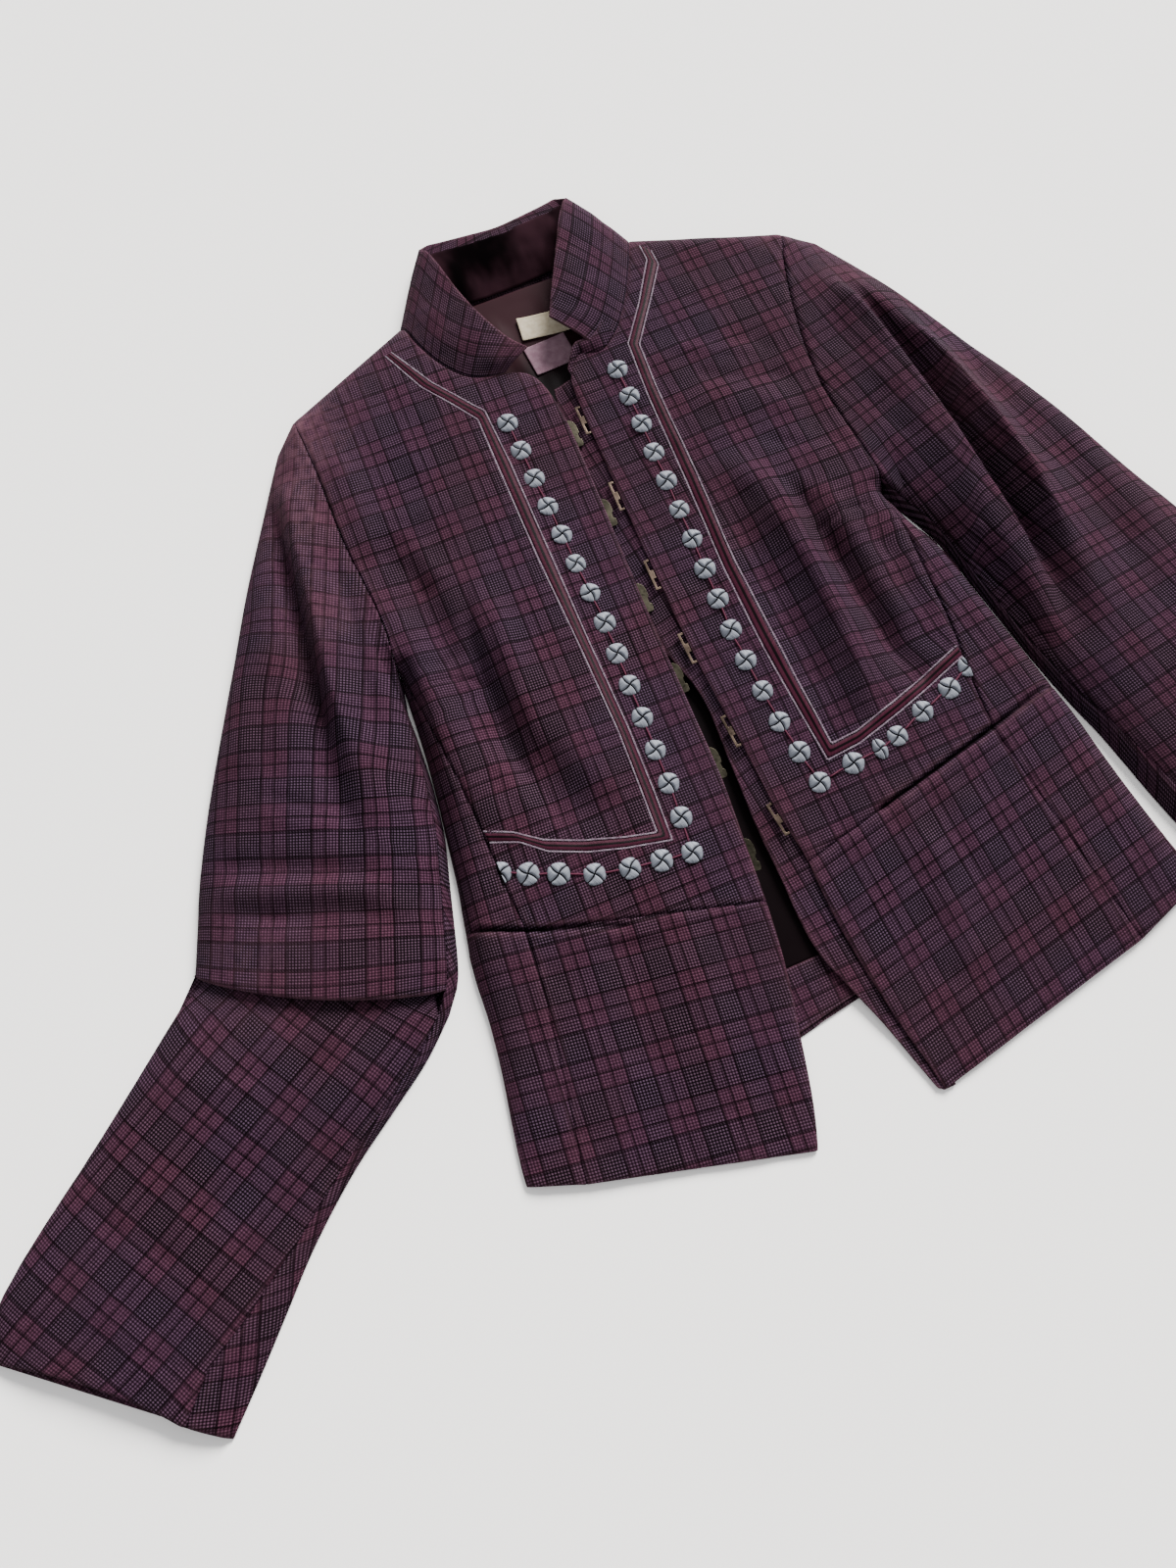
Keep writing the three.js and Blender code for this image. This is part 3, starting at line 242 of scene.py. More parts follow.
# Broad worn places: x, y, radius and how strong
wornPlaces = [
    (-192, 60, 26, 0.55), (-200, 30, 34, 0.42), (-214, -20, 34, 0.26), (-224, -90, 36, 0.22), (-150, 84, 40, 0.14),
    (190, 70, 24, 0.35),
    (222, 24, 30, 0.22), (246, -110, 34, 0.20), (-92, 96, 26, 0.20), (-30, 40, 24, 0.18), (84, 104, 24, 0.20),
    (-340, -296, 40, 0.16)]


def wornAt(x, y):
    total = np.zeros(np.shape(x))
    for px, py, radius, amount in wornPlaces:
        total = total + amount * np.exp(-(((x - px) ** 2 + (y - py) ** 2) / radius ** 2))
    return total


def ripple(x, y, seed, size=0.3):
    # soft unevenness of worn cloth, the same on every run
    waves = np.random.default_rng(seed)
    total = np.zeros(np.shape(x))
    for length in (17, 23, 31, 44, 60):
        turn, phase = waves.uniform(0, math.pi), waves.uniform(0, 2 * math.pi)
        across = x * math.cos(turn) + y * math.sin(turn)
        total = total + np.sin(across * 2 * math.pi / length + phase) * length / 45
    return size * total / 2


def spline(rows, at):
    p = np.asarray(rows, float)
    last = len(p) - 1
    i = np.clip(np.floor(at).astype(int), 0, last - 1)
    t = (at - i).reshape((-1,) + (1,) * (p.ndim - 1))
    a, b, c, d = p[np.maximum(i - 1, 0)], p[i], p[i + 1], p[np.minimum(i + 2, last)]
    return 0.5 * (2 * b + (c - a) * t + (2 * a - 5 * b + 4 * c - d) * t ** 2 + (3 * b - a - 3 * c + d) * t ** 3)


nearEdge = np.array([0, 0.4, 0.9, 1.5])


def edgedSteps(length, step):
    # even steps, with closer ones beside both ends so that a seam is sharp
    inner = np.linspace(2.4, length - 2.4, max(int(round(length / step)), 3))
    return np.concatenate([nearEdge, inner, length - nearEdge[::-1]])


def evenStations(rows, step, edged=False):
    p = np.asarray(rows, float).reshape(len(rows), -1)
    gaps = np.maximum(np.abs(np.diff(p, axis=0)).max(axis=1), 0.5)
    along = np.concatenate([[0], np.cumsum(gaps)])
    count = max(int(round(along[-1] / step)), 3) + 1
    steps = edgedSteps(along[-1], step) if edged else np.linspace(0, along[-1], count)
    return np.interp(steps, along, np.arange(len(p)))


def pointsAlong(line, count):
    p = np.asarray(line, float)
    gaps = np.hypot(*np.diff(p[:, :2], axis=0).T)
    along = np.concatenate([[0], np.cumsum(gaps)])
    at = np.linspace(0, along[-1], count)
    return np.stack([np.interp(at, along, p[:, k]) for k in range(p.shape[1])], axis=1)


# Height of the cloth on each half of the body

def makeSide(bodice, edge, skirt, folds, creases, centre, column, seed):
    sideEdge = edge + [row[4:6] for row in skirt[1:]]
    shoulder = [bodice[0][:2], bodice[0][2:4]]
    table = fullness[::-1]

    def heightAt(x, y):
        middle = np.interp(y, table[:, 0], table[:, column])
        flank = np.interp(y, table[:, 0], table[:, 3])
        full = middle + (flank - middle) * smooth(np.abs(x - centre) / 75)
        full = full + foldsAt(folds + creases, x, y) + ripple(x, y, seed)
        away = np.minimum(nearLine(shoulder, x, y)[0], nearLine(sideEdge, x, y)[0])
        return 3.7 + (full - 3.7) * (1 - (1 - np.clip(away / 17, 0, 1)) ** 2)

    return {"bodice": bodice, "skirt": skirt, "edge": edge, "heightAt": heightAt,
        "armhole": [row[2:4] for row in bodice[:13]]}


right = makeSide(rightBodice, rightSideEdge, rightSkirt, rightFolds, rightCreases, -25, 1, 11)
left = makeSide(leftBodice, leftSideEdge, leftSkirt, leftFolds, leftCreases, 5, 2, 12)


def heightOf(side, x, y):
    return float(side["heightAt"](np.array(x, float), np.array(y, float)))


# Materials. A Wire is one value in a node tree, and its operators add Math nodes

class Wire:
    def __init__(self, tree, link):
        self.tree, self.link = tree, link

    def join(self, operation, *others):
        return self.tree.node("ShaderNodeMath", {"operation": operation}, *others)

    def __add__(self, other): return self.join("ADD", self, other)
    def __radd__(self, other): return self.join("ADD", other, self)
    def __sub__(self, other): return self.join("SUBTRACT", self, other)
    def __rsub__(self, other): return self.join("SUBTRACT", other, self)
    def __mul__(self, other): return self.join("MULTIPLY", self, other)
    def __rmul__(self, other): return self.join("MULTIPLY", other, self)
    def __truediv__(self, other): return self.join("DIVIDE", self, other)
    def __lt__(self, other): return self.join("LESS_THAN", self, other)
    def __gt__(self, other): return self.join("GREATER_THAN", self, other)
    def floor(self): return self.join("FLOOR", self)
    def part(self): return self.join("FRACT", self)
    def size(self): return self.join("ABSOLUTE", self)
    def top(self, other): return self.join("MAXIMUM", self, other)
    def low(self, other): return self.join("MINIMUM", self, other)

    def ramp(self, start, end):
        return self.tree.node("ShaderNodeMapRange", {"interpolation_type": "SMOOTHSTEP"}, self, start, end)


class Finish:
    def __init__(self, name, roughness=0.9, **plain):
        self.material = bpy.data.materials.new(name)
        self.material.use_nodes = True
        self.nodes = self.material.node_tree.nodes
        self.links = self.material.node_tree.links
        self.shader = self.nodes["Principled BSDF"]
        self.shader.inputs["Roughness"].default_value = roughness
        for socket, value in plain.items():
            self.shader.inputs[socket.replace("_", " ")].default_value = value

    def node(self, kind, settings, *values, out=0, **named):
        made = self.nodes.new(kind)
        for name, value in settings.items():
            setattr(made, name, value)
        for key, value in list(enumerate(values)) + list(named.items()):
            socket = made.inputs[key]
            if isinstance(value, Wire):
                self.links.new(value.link, socket)
            else:
                socket.default_value = value
        return Wire(self, made.outputs[out])

    def split(self, vector):
        made = self.nodes.new("ShaderNodeSeparateXYZ")
        self.links.new(vector.link, made.inputs[0])
        return [Wire(self, made.outputs[i]) for i in range(3)]

    def uv(self):
        return self.node("ShaderNodeUVMap", {"uv_map": "UVMap"})

    def place(self):
        return self.node("ShaderNodeTexCoord", {}, out=3)

    def attribute(self, name):
        return self.node("ShaderNodeAttribute", {"attribute_name": name}, out=2)

    def noise(self, vector, scale, detail):
        return self.node("ShaderNodeTexNoise", {}, Vector=vector, Scale=scale, Detail=detail)

    def blend(self, share, first, second, mode="MIX"):
        made = self.nodes.new("ShaderNodeMix")
        made.data_type, made.blend_type = "RGBA", mode
        for index, value in ((0, share), (6, first), (7, second)):
            if isinstance(value, Wire):
                self.links.new(value.link, made.inputs[index])
            else:
                made.inputs[index].default_value = value if index == 0 else (*value, 1)
        return Wire(self, made.outputs[2])

    def bump(self, height, strength, distance):
        return self.node("ShaderNodeBump", {}, Strength=strength, Distance=distance, Height=height)

    def finish(self, **sockets):
        for name, wire in sockets.items():
            self.links.new(wire.link, self.shader.inputs[name.replace("_", " ")])
        return self.material


# Glen check: threads of two colours in a 2/2 twill, in groups that make a dark block and a band of two windows
check = {
    "across": 68, "along": 78, "bandHalf": 0.262, "lineHalf": 0.021, "twill": 0.00014,
    "worn": (0.085, 0.038, 0.051), "line": (0.0014, 0.0003, 0.0008),
    "block": [(0.0010, 0.0003, 0.0007), (0.0080, 0.0043, 0.0070), (0.060, 0.036, 0.055)],
    "band": [(0.0040, 0.0013, 0.0029), (0.0175, 0.0080, 0.0140), (0.064, 0.034, 0.054)],
    "window": [(0.0110, 0.0035, 0.0070), (0.0280, 0.0106, 0.0192), (0.064, 0.027, 0.044)]}


def checkedCloth(name, shadeFactor=1.0):
    f = Finish(name, 0.86, Specular_IOR_Level=0.03)
    u, v, _ = f.split(f.uv())
    place = f.place()
    warpIndex, weftIndex = (u * check["across"]).floor(), (v * check["along"]).floor()
    twill = ((warpIndex + weftIndex) / 4).part()
    warpUp = twill < 0.49

    def bandOf(across):
        away = (across.part() - 0.5).size() * -1 + 0.5        # 0 at the band's middle, 0.5 in the middle of a block
        line = (away < check["lineHalf"]).top((away - check["bandHalf"]).size() < check["lineHalf"])
        return away < check["bandHalf"], line

    warpBand, warpLine = bandOf(u)
    weftBand, weftLine = bandOf(v)
    warpPale, weftPale = (warpIndex / 4).part() > 0.49, (weftIndex / 4).part() > 0.49
    either, both = warpPale.top(weftPale), warpPale * weftPale
    block, band, window = [f.blend(both, f.blend(either, dark, middle), light) for dark, middle,
        light in (check["block"], check["band"], check["window"])]
    cloth = f.blend(warpBand * weftBand, f.blend(warpBand.top(weftBand), block, band), window)
    faded = f.noise(place, 70, 2).ramp(0.3, 0.75) * 0.25
    toothed = (warpLine * (0.6 + warpUp * 0.4)).top(weftLine * (1.0 - warpUp * 0.4))
    cloth = f.blend(toothed * (1.0 - faded), cloth, check["line"])
    fuzz = f.noise(place, 900, 2)
    cloth = f.blend(f.noise(place, 9, 3).ramp(0.35, 0.7) * 0.16, cloth, (0.022, 0.0105, 0.0175))
    cloth = f.blend(1.0, cloth, f.blend(f.noise(place, 13, 2).ramp(0.35, 0.65), (1.04, 0.97, 0.96),
        (0.97, 1.0, 1.08)), "MULTIPLY")
    cloth = f.blend(0.55, cloth, f.blend(fuzz.ramp(0.3, 0.7), (0.55, 0.5, 0.53), (1.35, 1.3, 1.32)), "MULTIPLY")
    wearAndShade = f.attribute("wearAndShade")
    patch = f.noise(place, 160, 3).ramp(0.35, 0.65)
    cloth = f.blend((wearAndShade.top(0.0) * (0.35 + patch * 0.65)).low(0.85), cloth, check["worn"])
    # painted shade: negative values draw the cloth towards the dark line colour in seam grooves, along hems and in
    # pocket mouths
    cloth = f.blend((wearAndShade * -1).top(0.0), cloth, check["line"])
    # painted shade: a darker copy of the cloth for parts that lie in shade
    if shadeFactor != 1.0:
        cloth = f.blend(1.0, cloth, (shadeFactor, shadeFactor, shadeFactor), "MULTIPLY")
    rib = (twill - 0.5).size() * 2 + fuzz * 1.2
    return f.finish(Base_Color=cloth, Normal=f.bump(rib, 0.55, check["twill"]))


def satinCloth():
    f = Finish("satin_lining", 0.5, Specular_IOR_Level=0.03)
    place = f.place()
    thread = f.node("ShaderNodeTexWave", {"wave_type": "BANDS", "bands_direction": "Y"}, Vector=place, Scale=420,
        Distortion=1.5)
    cloud = f.noise(place, 30, 3)
    colour = f.blend(cloud, (0.0145, 0.0042, 0.0062), (0.021, 0.0066, 0.0094))
    # painted shade: the lining is drawn near black where the attribute is high, for the shadow down the gap between
    # the fronts
    colour = f.blend(f.attribute("wearAndShade"), colour, (0.0014, 0.0005, 0.0009))
    return f.finish(Base_Color=colour, Normal=f.bump(thread, 0.12, 0.0001))


def velvetCloth():
    f = Finish("velvet_lining", 0.9, Specular_IOR_Level=0.01)
    place = f.place()
    nap = f.noise(place, 1400, 2)
    # painted highlight: streaks of the nap drawn lighter as sheen, on the velvet's near-black colour
    paintedSheen = f.noise(f.node("ShaderNodeMapping", {}, place, Scale=(26, 14, 20)), 1, 3)
    colour = f.blend(paintedSheen.ramp(0.4, 0.64), (0.0006, 0.0001, 0.0003), (0.017, 0.0066, 0.0098))
    return f.finish(Base_Color=colour, Normal=f.bump(nap, 0.5, 0.0002))


def labelCloth(name, base, thread):
    f = Finish(name, 0.8, Specular_IOR_Level=0.25)
    place = f.place()
    ribs = f.node("ShaderNodeTexWave", {"wave_type": "BANDS", "bands_direction": "Y"}, Vector=place, Scale=700,
        Distortion=0.5)
    mottle = f.noise(place, 240, 3)
    colour = f.blend(mottle.ramp(0.3, 0.75), base, thread)
    colour = f.blend(f.attribute("wearAndShade") * 0.6, colour, tuple(c * 0.5 for c in base))
    return f.finish(Base_Color=colour, Normal=f.bump(ribs, 0.3, 0.0001))


def satinStitch(name, pale, deep, gap, spacing=0.62, shine=0.3):
    # threads side by side: U runs across them in millimetres; "arm" is the distance to a gap between two runs
    f = Finish(name, 0.45, Specular_IOR_Level=shine)
    u, v, _ = f.split(f.uv())
    sway = f.noise(f.place(), 260, 2)
    strand = ((u / spacing + sway * 0.7).part() - 0.5).size() * 2
    tone = f.noise(f.node("ShaderNodeCombineXYZ", {}, u / spacing, v * 0.04, 0.0), 1.0, 1)
    colour = f.blend(tone.ramp(0.3, 0.7), deep, pale)
    # painted shade in the valleys between neighbouring threads
    colour = f.blend(strand.ramp(0.72, 1.0) * 0.55, colour, tuple(c * 0.35 for c in deep))
    arm = f.attribute("arm")
    # painted shade: the disc's quarters are darkened by their tone attribute, for the light their thread direction
    # catches
    colour = f.blend(f.attribute("tone") * 0.75, colour, tuple(c * 0.8 for c in deep))
    colour = f.blend(1.0 - arm.ramp(0.28, 0.62), colour, gap)
    return f.finish(Base_Color=colour, Normal=f.bump(strand * -1, 0.45, 0.00018))


def chainThread():
    f = Finish("chain_thread", 0.5, Specular_IOR_Level=0.15)
    u, v, _ = f.split(f.uv())
    twist = ((u * 3 + v * 2).part() - 0.5).size() * 2
    tone = f.noise(f.place(), 300, 2)
    colour = f.blend(tone.ramp(0.3, 0.7), (0.17, 0.115, 0.155), (0.30, 0.245, 0.295))
    # painted shade in the grooves between the thread's plies
    colour = f.blend(twist.ramp(0.6, 1.0) * 0.5, colour, (0.07, 0.035, 0.055))
    return f.finish(Base_Color=colour, Normal=f.bump(twist * -1, 0.4, 0.0001))


def plateMetal(name, face, edge, grime, roughness):
    f = Finish(name, roughness, Metallic=1.0)
    place = f.place()
    spots = f.noise(place, 420, 4)
    streak = f.noise(place, 90, 3)
    colour = f.blend(streak.ramp(0.35, 0.7), face, edge)
    colour = f.blend(spots.ramp(0.55, 0.75) * 0.8, colour, grime)
    rough = f.node("ShaderNodeMapRange", {}, spots, 0.3, 0.7, roughness - 0.08, roughness + 0.2)
    return f.finish(Base_Color=colour, Roughness=rough, Normal=f.bump(spots, 0.15, 0.0001))


print("materials")
cloth = checkedCloth("checked_cloth")
# the back is drawn with this darker copy of the cloth, painted shade for a panel lying under the rest
clothInShade = checkedCloth("checked_cloth_in_shade", 0.62)
satin = satinCloth()
velvet = velvetCloth()
creamLabelCloth = labelCloth("cream_label", (0.36, 0.30, 0.21), (0.46, 0.40, 0.30))
mauveLabelCloth = labelCloth("mauve_label", (0.15, 0.078, 0.107), (0.20, 0.118, 0.15))
discSilk = satinStitch("disc_silk", (0.29, 0.305, 0.345), (0.115, 0.125, 0.150), (0.003, 0.002, 0.004), shine=0.15)
bandSilk = satinStitch("band_silk", (0.050, 0.0095, 0.0215), (0.024, 0.004, 0.010), (0.0015, 0.0005, 0.001), 0.5,
    0.04)
linkSilk = satinStitch("link_silk", (0.10, 0.019, 0.042), (0.045, 0.009, 0.02), (0.005, 0.0015, 0.003), 0.45, 0.08)
chainSilk = chainThread()
hookSteel = plateMetal("hook_metal", (0.017, 0.0155, 0.011), (0.040, 0.036, 0.026), (0.005, 0.0045, 0.0035), 0.40)
eyeBrass = plateMetal("eye_metal", (0.036, 0.026, 0.020), (0.085, 0.062, 0.048), (0.010, 0.0075, 0.006), 0.36)


# Cloth shells from grids of points

def normalsOf(grid):
    # along the rows by along the columns, pointing to the outer face of a grid whose rows run down
    down = np.gradient(grid, axis=0)
    over = np.gradient(grid, axis=1)
    normal = np.cross(down, over)
    return normal / np.maximum(np.linalg.norm(normal, axis=-1, keepdims=True), 1e-9)


def measured(grid):
    # width, length and area of a grid's cloth, in metres
    across = np.linalg.norm(np.diff(grid, axis=1), axis=-1).sum(axis=1)
    along = np.linalg.norm(np.diff(grid, axis=0), axis=-1).sum(axis=0)
    a, b, c = grid[:-1, :-1], grid[1:, :-1], grid[:-1, 1:]
    d = grid[1:, 1:]
    area = 0.5 * (np.linalg.norm(np.cross(b - a, c - a), axis=-1) + np.linalg.norm(np.cross(b - d, c - d),
        axis=-1)).sum()
    return across.max() / 1000, along.max() / 1000, area / 1e6


def clothUv(grid, grain, column=None):
    # place on the flat cloth: arc length across each row from one column, laid along the row's own direction
    rows, columns = grid.shape[:2]
    column = columns // 2 if column is None else column
    plan = grid[..., :2]
    across = plan[:, -1] - plan[:, 0]
    across = across / np.maximum(np.linalg.norm(across, axis=-1, keepdims=True), 1e-6)
    steps = np.linalg.norm(np.diff(grid, axis=1), axis=-1)
    arc = np.concatenate([np.zeros((rows, 1)), np.cumsum(steps, axis=1)], axis=1)
    arc = arc - arc[:, column:column + 1]
    spine = plan[:, column]
    runs = np.diff(grid[:, column], axis=0)
    flat = np.maximum(np.linalg.norm(runs[:, :2], axis=-1), 1e-6)
    extra = (np.linalg.norm(runs, axis=-1) - flat)[:, None] * runs[:, :2] / flat[:, None]
    spine = spine + np.concatenate([np.zeros((1, 2)), np.cumsum(extra, axis=0)])
    laid = spine[:, None, :] + arc[..., None] * across[:, None, :]
    basis = np.array([grain["across"], grain["along"]], float).T
    return (laid - np.array(grain["origin"], float)) @ np.linalg.inv(basis).T


def addObject(name, data):
    made = bpy.data.objects.new(name, data)
    bpy.context.scene.collection.objects.link(made)
    return made


def meshPiece(name, points, faces, material, uv=None, extras=None):
    mesh = bpy.data.meshes.new(name)
    mesh.from_pydata(metres(points).tolist(), [], faces)
    if uv is not None:
        layer = mesh.uv_layers.new(name="UVMap")
        index = np.zeros(len(mesh.loops), int)
        mesh.loops.foreach_get("vertex_index", index)
        layer.data.foreach_set("uv", np.asarray(uv, float)[index].ravel())
    for key, values in (extras or {}).items():
        mesh.attributes.new(key, "FLOAT", "POINT").data.foreach_set("value", np.asarray(values, float).ravel())
    shape = bmesh.new()
    shape.from_mesh(mesh)
    bmesh.ops.recalc_face_normals(shape, faces=shape.faces)
    shape.to_mesh(mesh)
    shape.free()
    mesh.shade_smooth()
    mesh.materials.append(material)
    return addObject(name, mesh)


def shell(name, outer, inner, uv, wearAndShade, material):
    # closed wall between two grids, its rim rounded by a middle line
    rows, columns = outer.shape[:2]
    at = np.arange(rows * columns).reshape(rows, columns)
    loop = np.concatenate([at[0, :-1], at[:-1, -1], at[-1, :0:-1], at[:0:-1, 0]])
    inside = np.concatenate([at[1, :-1], at[:-1, -2], at[-2, :0:-1], at[:0:-1, 1]])
    top, low = outer.reshape(-1, 3), inner.reshape(-1, 3)
    out = top[loop] - top[inside]
    out = out / np.maximum(np.linalg.norm(out, axis=1, keepdims=True), 1e-9)
    thick = np.linalg.norm(top[loop] - low[loop], axis=1, keepdims=True)
    middle = (top[loop] + low[loop]) / 2 + out * thick * 0.3
    middle[:, 2] = np.maximum(middle[:, 2], np.minimum(top[loop, 2], low[loop, 2]))
    second, third = rows * columns, 2 * rows * columns
    a, b, c, d = at[:-1, :-1].ravel(), at[1:, :-1].ravel(), at[1:, 1:].ravel(), at[:-1, 1:].ravel()
    quads = [np.stack([a, b, c, d], 1), np.stack([d, c, b, a], 1) + second]
    ring = third + np.arange(len(loop))
    nextLoop, nextRing = np.roll(loop, -1), np.roll(ring, -1)
    quads.append(np.stack([loop, nextLoop, nextRing, ring], 1))
    quads.append(np.stack([ring, nextRing, nextLoop + second, loop + second], 1))
    points = np.concatenate([top, low, middle])
    flatUv = uv.reshape(-1, 2)
    flatWearAndShade = wearAndShade.reshape(-1)
    uvs = np.concatenate([flatUv, flatUv, flatUv[loop]])
    wearAndShadeValues = np.concatenate([flatWearAndShade, flatWearAndShade, np.minimum(flatWearAndShade[loop] + 0.25, 1)])
    return meshPiece(name, points, np.concatenate(quads).tolist(), material, uvs, {"wearAndShade": wearAndShadeValues})


def dress(piece, nodes, cut=None):
    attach(piece, "root")
    if nodes:
        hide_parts(*nodes)
    print(piece.name, "made")
    return piece


# What an edge does to the cloth beside it: it is drawn down at a seam, and rounded at a fold. The second grid
# returned is real wear where it is positive and painted shade where it is negative.
def edgeWork(grid, edges, seed):
    rows, columns = grid.shape[:2]
    across = np.linalg.norm(np.diff(grid, axis=1), axis=-1)
    along = np.linalg.norm(np.diff(grid, axis=0), axis=-1)
    fromStart = np.concatenate([np.zeros((rows, 1)), np.cumsum(across, axis=1)], axis=1)
    fromFirst = np.concatenate([np.zeros((1, columns)), np.cumsum(along, axis=0)], axis=0)
    away = {"start": fromStart, "end": fromStart[:, -1:] - fromStart, "first": fromFirst,
        "last": fromFirst[-1:] - fromFirst}
    x, y = grid[..., 0], grid[..., 1]
    drop, wearAndShade = np.zeros((rows, columns)), np.zeros((rows, columns))
    for edge, kind in edges.items():
        d = away[edge]
        if kind == "seam":
            # the armholes and the skirt's seams are pressed flat, the others stand out more
            depth = 0.45 + 0.35 * smooth((-130 - y) / 40)
            if edge in ("start", "end"):
                depth = depth - 0.4 * smooth((-340 - y) / 20)
            drawn = np.exp(-((d / 0.9) ** 2)) + 0.4 * np.exp(-((d / 2.4) ** 2))
            drop += depth * (drawn - 0.3 * np.exp(-(((d - 4.5) / 2.6) ** 2)))
            drop += ripple(x * 3.1, y * 3.1, seed, 0.35) * np.exp(-d / 8)
            # beside the seam a little real wear; in the seam's groove painted shade, a dark line drawn into the
            # colour
            wearAndShade += 0.10 * np.exp(-(((d - 2.6) / 1.5) ** 2)) - 0.5 * depth * np.exp(-((d / 0.55) ** 2))
        elif kind == "fold":
            drop += 0.8 * np.exp(-((d / 1.2) ** 2))
            wearAndShade += 0.34 * np.exp(-d / 0.9) + 0.10 * np.exp(-d / 5)
        elif kind == "hem":
            drop += 0.7 * np.exp(-((d / 1.2) ** 2)) + 0.35 * np.exp(-(((d - 29) / 1.6) ** 2))
            # real wear on the hem's edge; painted shade along the groove of the turned-up hem
            wearAndShade += 0.26 * np.exp(-d) - 0.12 * np.exp(-(((d - 29) / 1.2) ** 2))
    wearAndShade += wornAt(x, y)
    for line in pocketSlits:
        d, share = nearLine(line, x, y)
        mouth = smooth(14 * share * (1 - share))
        drop += 2.2 * np.exp(-((d / 1.6) ** 2)) * mouth
        # a little real wear along the pocket's lip, and painted shade inside the pocket mouth
        wearAndShade += (0.14 * np.exp(-(((d - 3.5) / 1.6) ** 2)) - 0.95 * np.exp(-((d / 1.2) ** 2))) * mouth
    return drop, np.clip(wearAndShade, -1, 1)


panelCloth = {"thickness": 1.4, "spacing": 2.0, "gap": 0.2}


def panelPiece(name, nodes, side, starts, ends, edges, grain, seed):
    rows = np.stack([np.asarray(starts, float), np.asarray(ends, float)], axis=1)
    direction = rows[:, 1] - rows[:, 0]
    width = np.linalg.norm(direction, axis=1, keepdims=True)
    rows[:, 0] += direction / width * panelCloth["gap"]
    rows[:, 1] -= direction / width * (panelCloth["gap"] if edges.get("end") == "seam" else 0)
    fine = spline(rows, evenStations(rows, panelCloth["spacing"], edged=True))
    share = (edgedSteps(width.mean(), panelCloth["spacing"]) / width.mean())[None, :, None]
    plan = fine[:, :1] * (1 - share) + fine[:, 1:] * share
    grid = np.concatenate([plan, side["heightAt"](plan[..., 0], plan[..., 1])[..., None]], axis=2)
    drop, wearAndShade = edgeWork(grid, edges, seed)
    shaped = grid.copy()
    shaped[..., 2] = np.maximum(grid[..., 2] - drop, panelCloth["thickness"] + 0.6)
    normal = normalsOf(shaped)
    normal *= np.sign(normal[..., 2:])
    inner = shaped - normal * panelCloth["thickness"]
    piece = shell(name, shaped, inner, clothUv(grid, grains[grain]), wearAndShade, cloth)
    dress(piece, nodes, measured(shaped))
    return shaped


print("body panels")
for suffix, side, seed in (("right", right, 21), ("left", left, 31)):
    bodice, skirt, edge = side["bodice"], side["skirt"], side["edge"]
    panelPiece(f"cloth_front_{suffix}", [f"front_{suffix}"], side, [r[:2] for r in bodice],
        [r[2:4] for r in bodice],
               {"start": "fold", "end": "seam", "last": "seam"}, f"front_{suffix}", seed)
    panelPiece(f"cloth_side_{suffix}", [f"side_{suffix}"], side, [r[2:4] for r in bodice[12:]], edge,
               {"start": "seam", "end": "fold", "last": "seam"}, f"side_{suffix}", seed + 1)
    panelPiece(f"cloth_skirt_front_{suffix}", [f"skirt_front_{suffix}"], side, [r[:2] for r in skirt],
        [r[2:4] for r in skirt],
               {"start": "fold", "end": "seam", "first": "seam", "last": "hem"}, f"skirt_{suffix}", seed + 2)
    panelPiece(f"cloth_skirt_side_{suffix}", [f"skirt_side_{suffix}"], side, [r[2:4] for r in skirt],
        [r[4:6] for r in skirt],
               {"start": "seam", "end": "fold", "first": "fold", "last": "hem"}, f"skirt_{suffix}", seed + 3)


# Sleeves: rows from the outer edge over the top to the inner edge

sleeve = {"edge": 2.4, "full": 2.6, "spacing": 2.2, "thickness": 1.4}


def armholePlan(side, outward, v):
    line = np.asarray(side["armhole"], float)
    along = np.concatenate([[0], np.cumsum(np.hypot(*np.diff(line, axis=0).T))])
    at = np.clip(v, 0, 1) * along[-1]
    return np.stack([np.interp(at, along, line[:, 0]) + outward * 0.4, np.interp(at, along, line[:, 1])], axis=-1)


def sleeveSurface(table, folds, at, v, armhole=None, seed=0):
    # points of the sleeve's top at table places "at" (0 is the armhole where there is one) and shares v of the width
    shift = 1 if armhole else 0
    fine = spline(table, np.clip(at - shift, 0, len(table) - 1))
    outerX, outerY, innerX, innerY, crown, seam, bow = [fine[:, i:i + 1] for i in range(7)]
    width = np.hypot(innerX - outerX, innerY - outerY)
    alongX, alongY = (innerX - outerX) / width, (innerY - outerY) / width
    lift = bow * 4 * v * (1 - v)
    x = outerX + (innerX - outerX) * v + alongY * lift
    y = outerY + (innerY - outerY) * v - alongX * lift
    cover = np.sqrt(np.maximum(0, 1 - np.abs(2 * v - 1) ** sleeve["full"]))
    if armhole:
        side, outward = armhole
        t = np.clip(at, 0, 1)[:, None]
        plan = armholePlan(side, outward, v)
        near = np.maximum(sleeve["edge"], side["heightAt"](plan[..., 0], plan[..., 1]) - 0.1)
        x, y = plan[..., 0] * (1 - t) + x * t, plan[..., 1] * (1 - t) + y * t
        z = sleeve["edge"] + (crown - sleeve["edge"] + foldsAt(folds, x, y) + ripple(x, y, seed)) * cover
        z = near * (1 - t) + z * t
    else:
        z = sleeve["edge"] + (crown - sleeve["edge"] + foldsAt(folds, x, y) + ripple(x, y, seed)) * cover
    return np.stack([x, y, np.maximum(z, sleeve["edge"])], axis=-1)


def seamAt(table, at, shift):
    return np.interp(at - shift, np.arange(len(table)), [row[5] for row in table])[:, None]


def topShares(count):
    even = np.linspace(0, 1, count)
    return even + ((0.5 - 0.5 * np.cos(math.pi * even)) - even) * 0.45


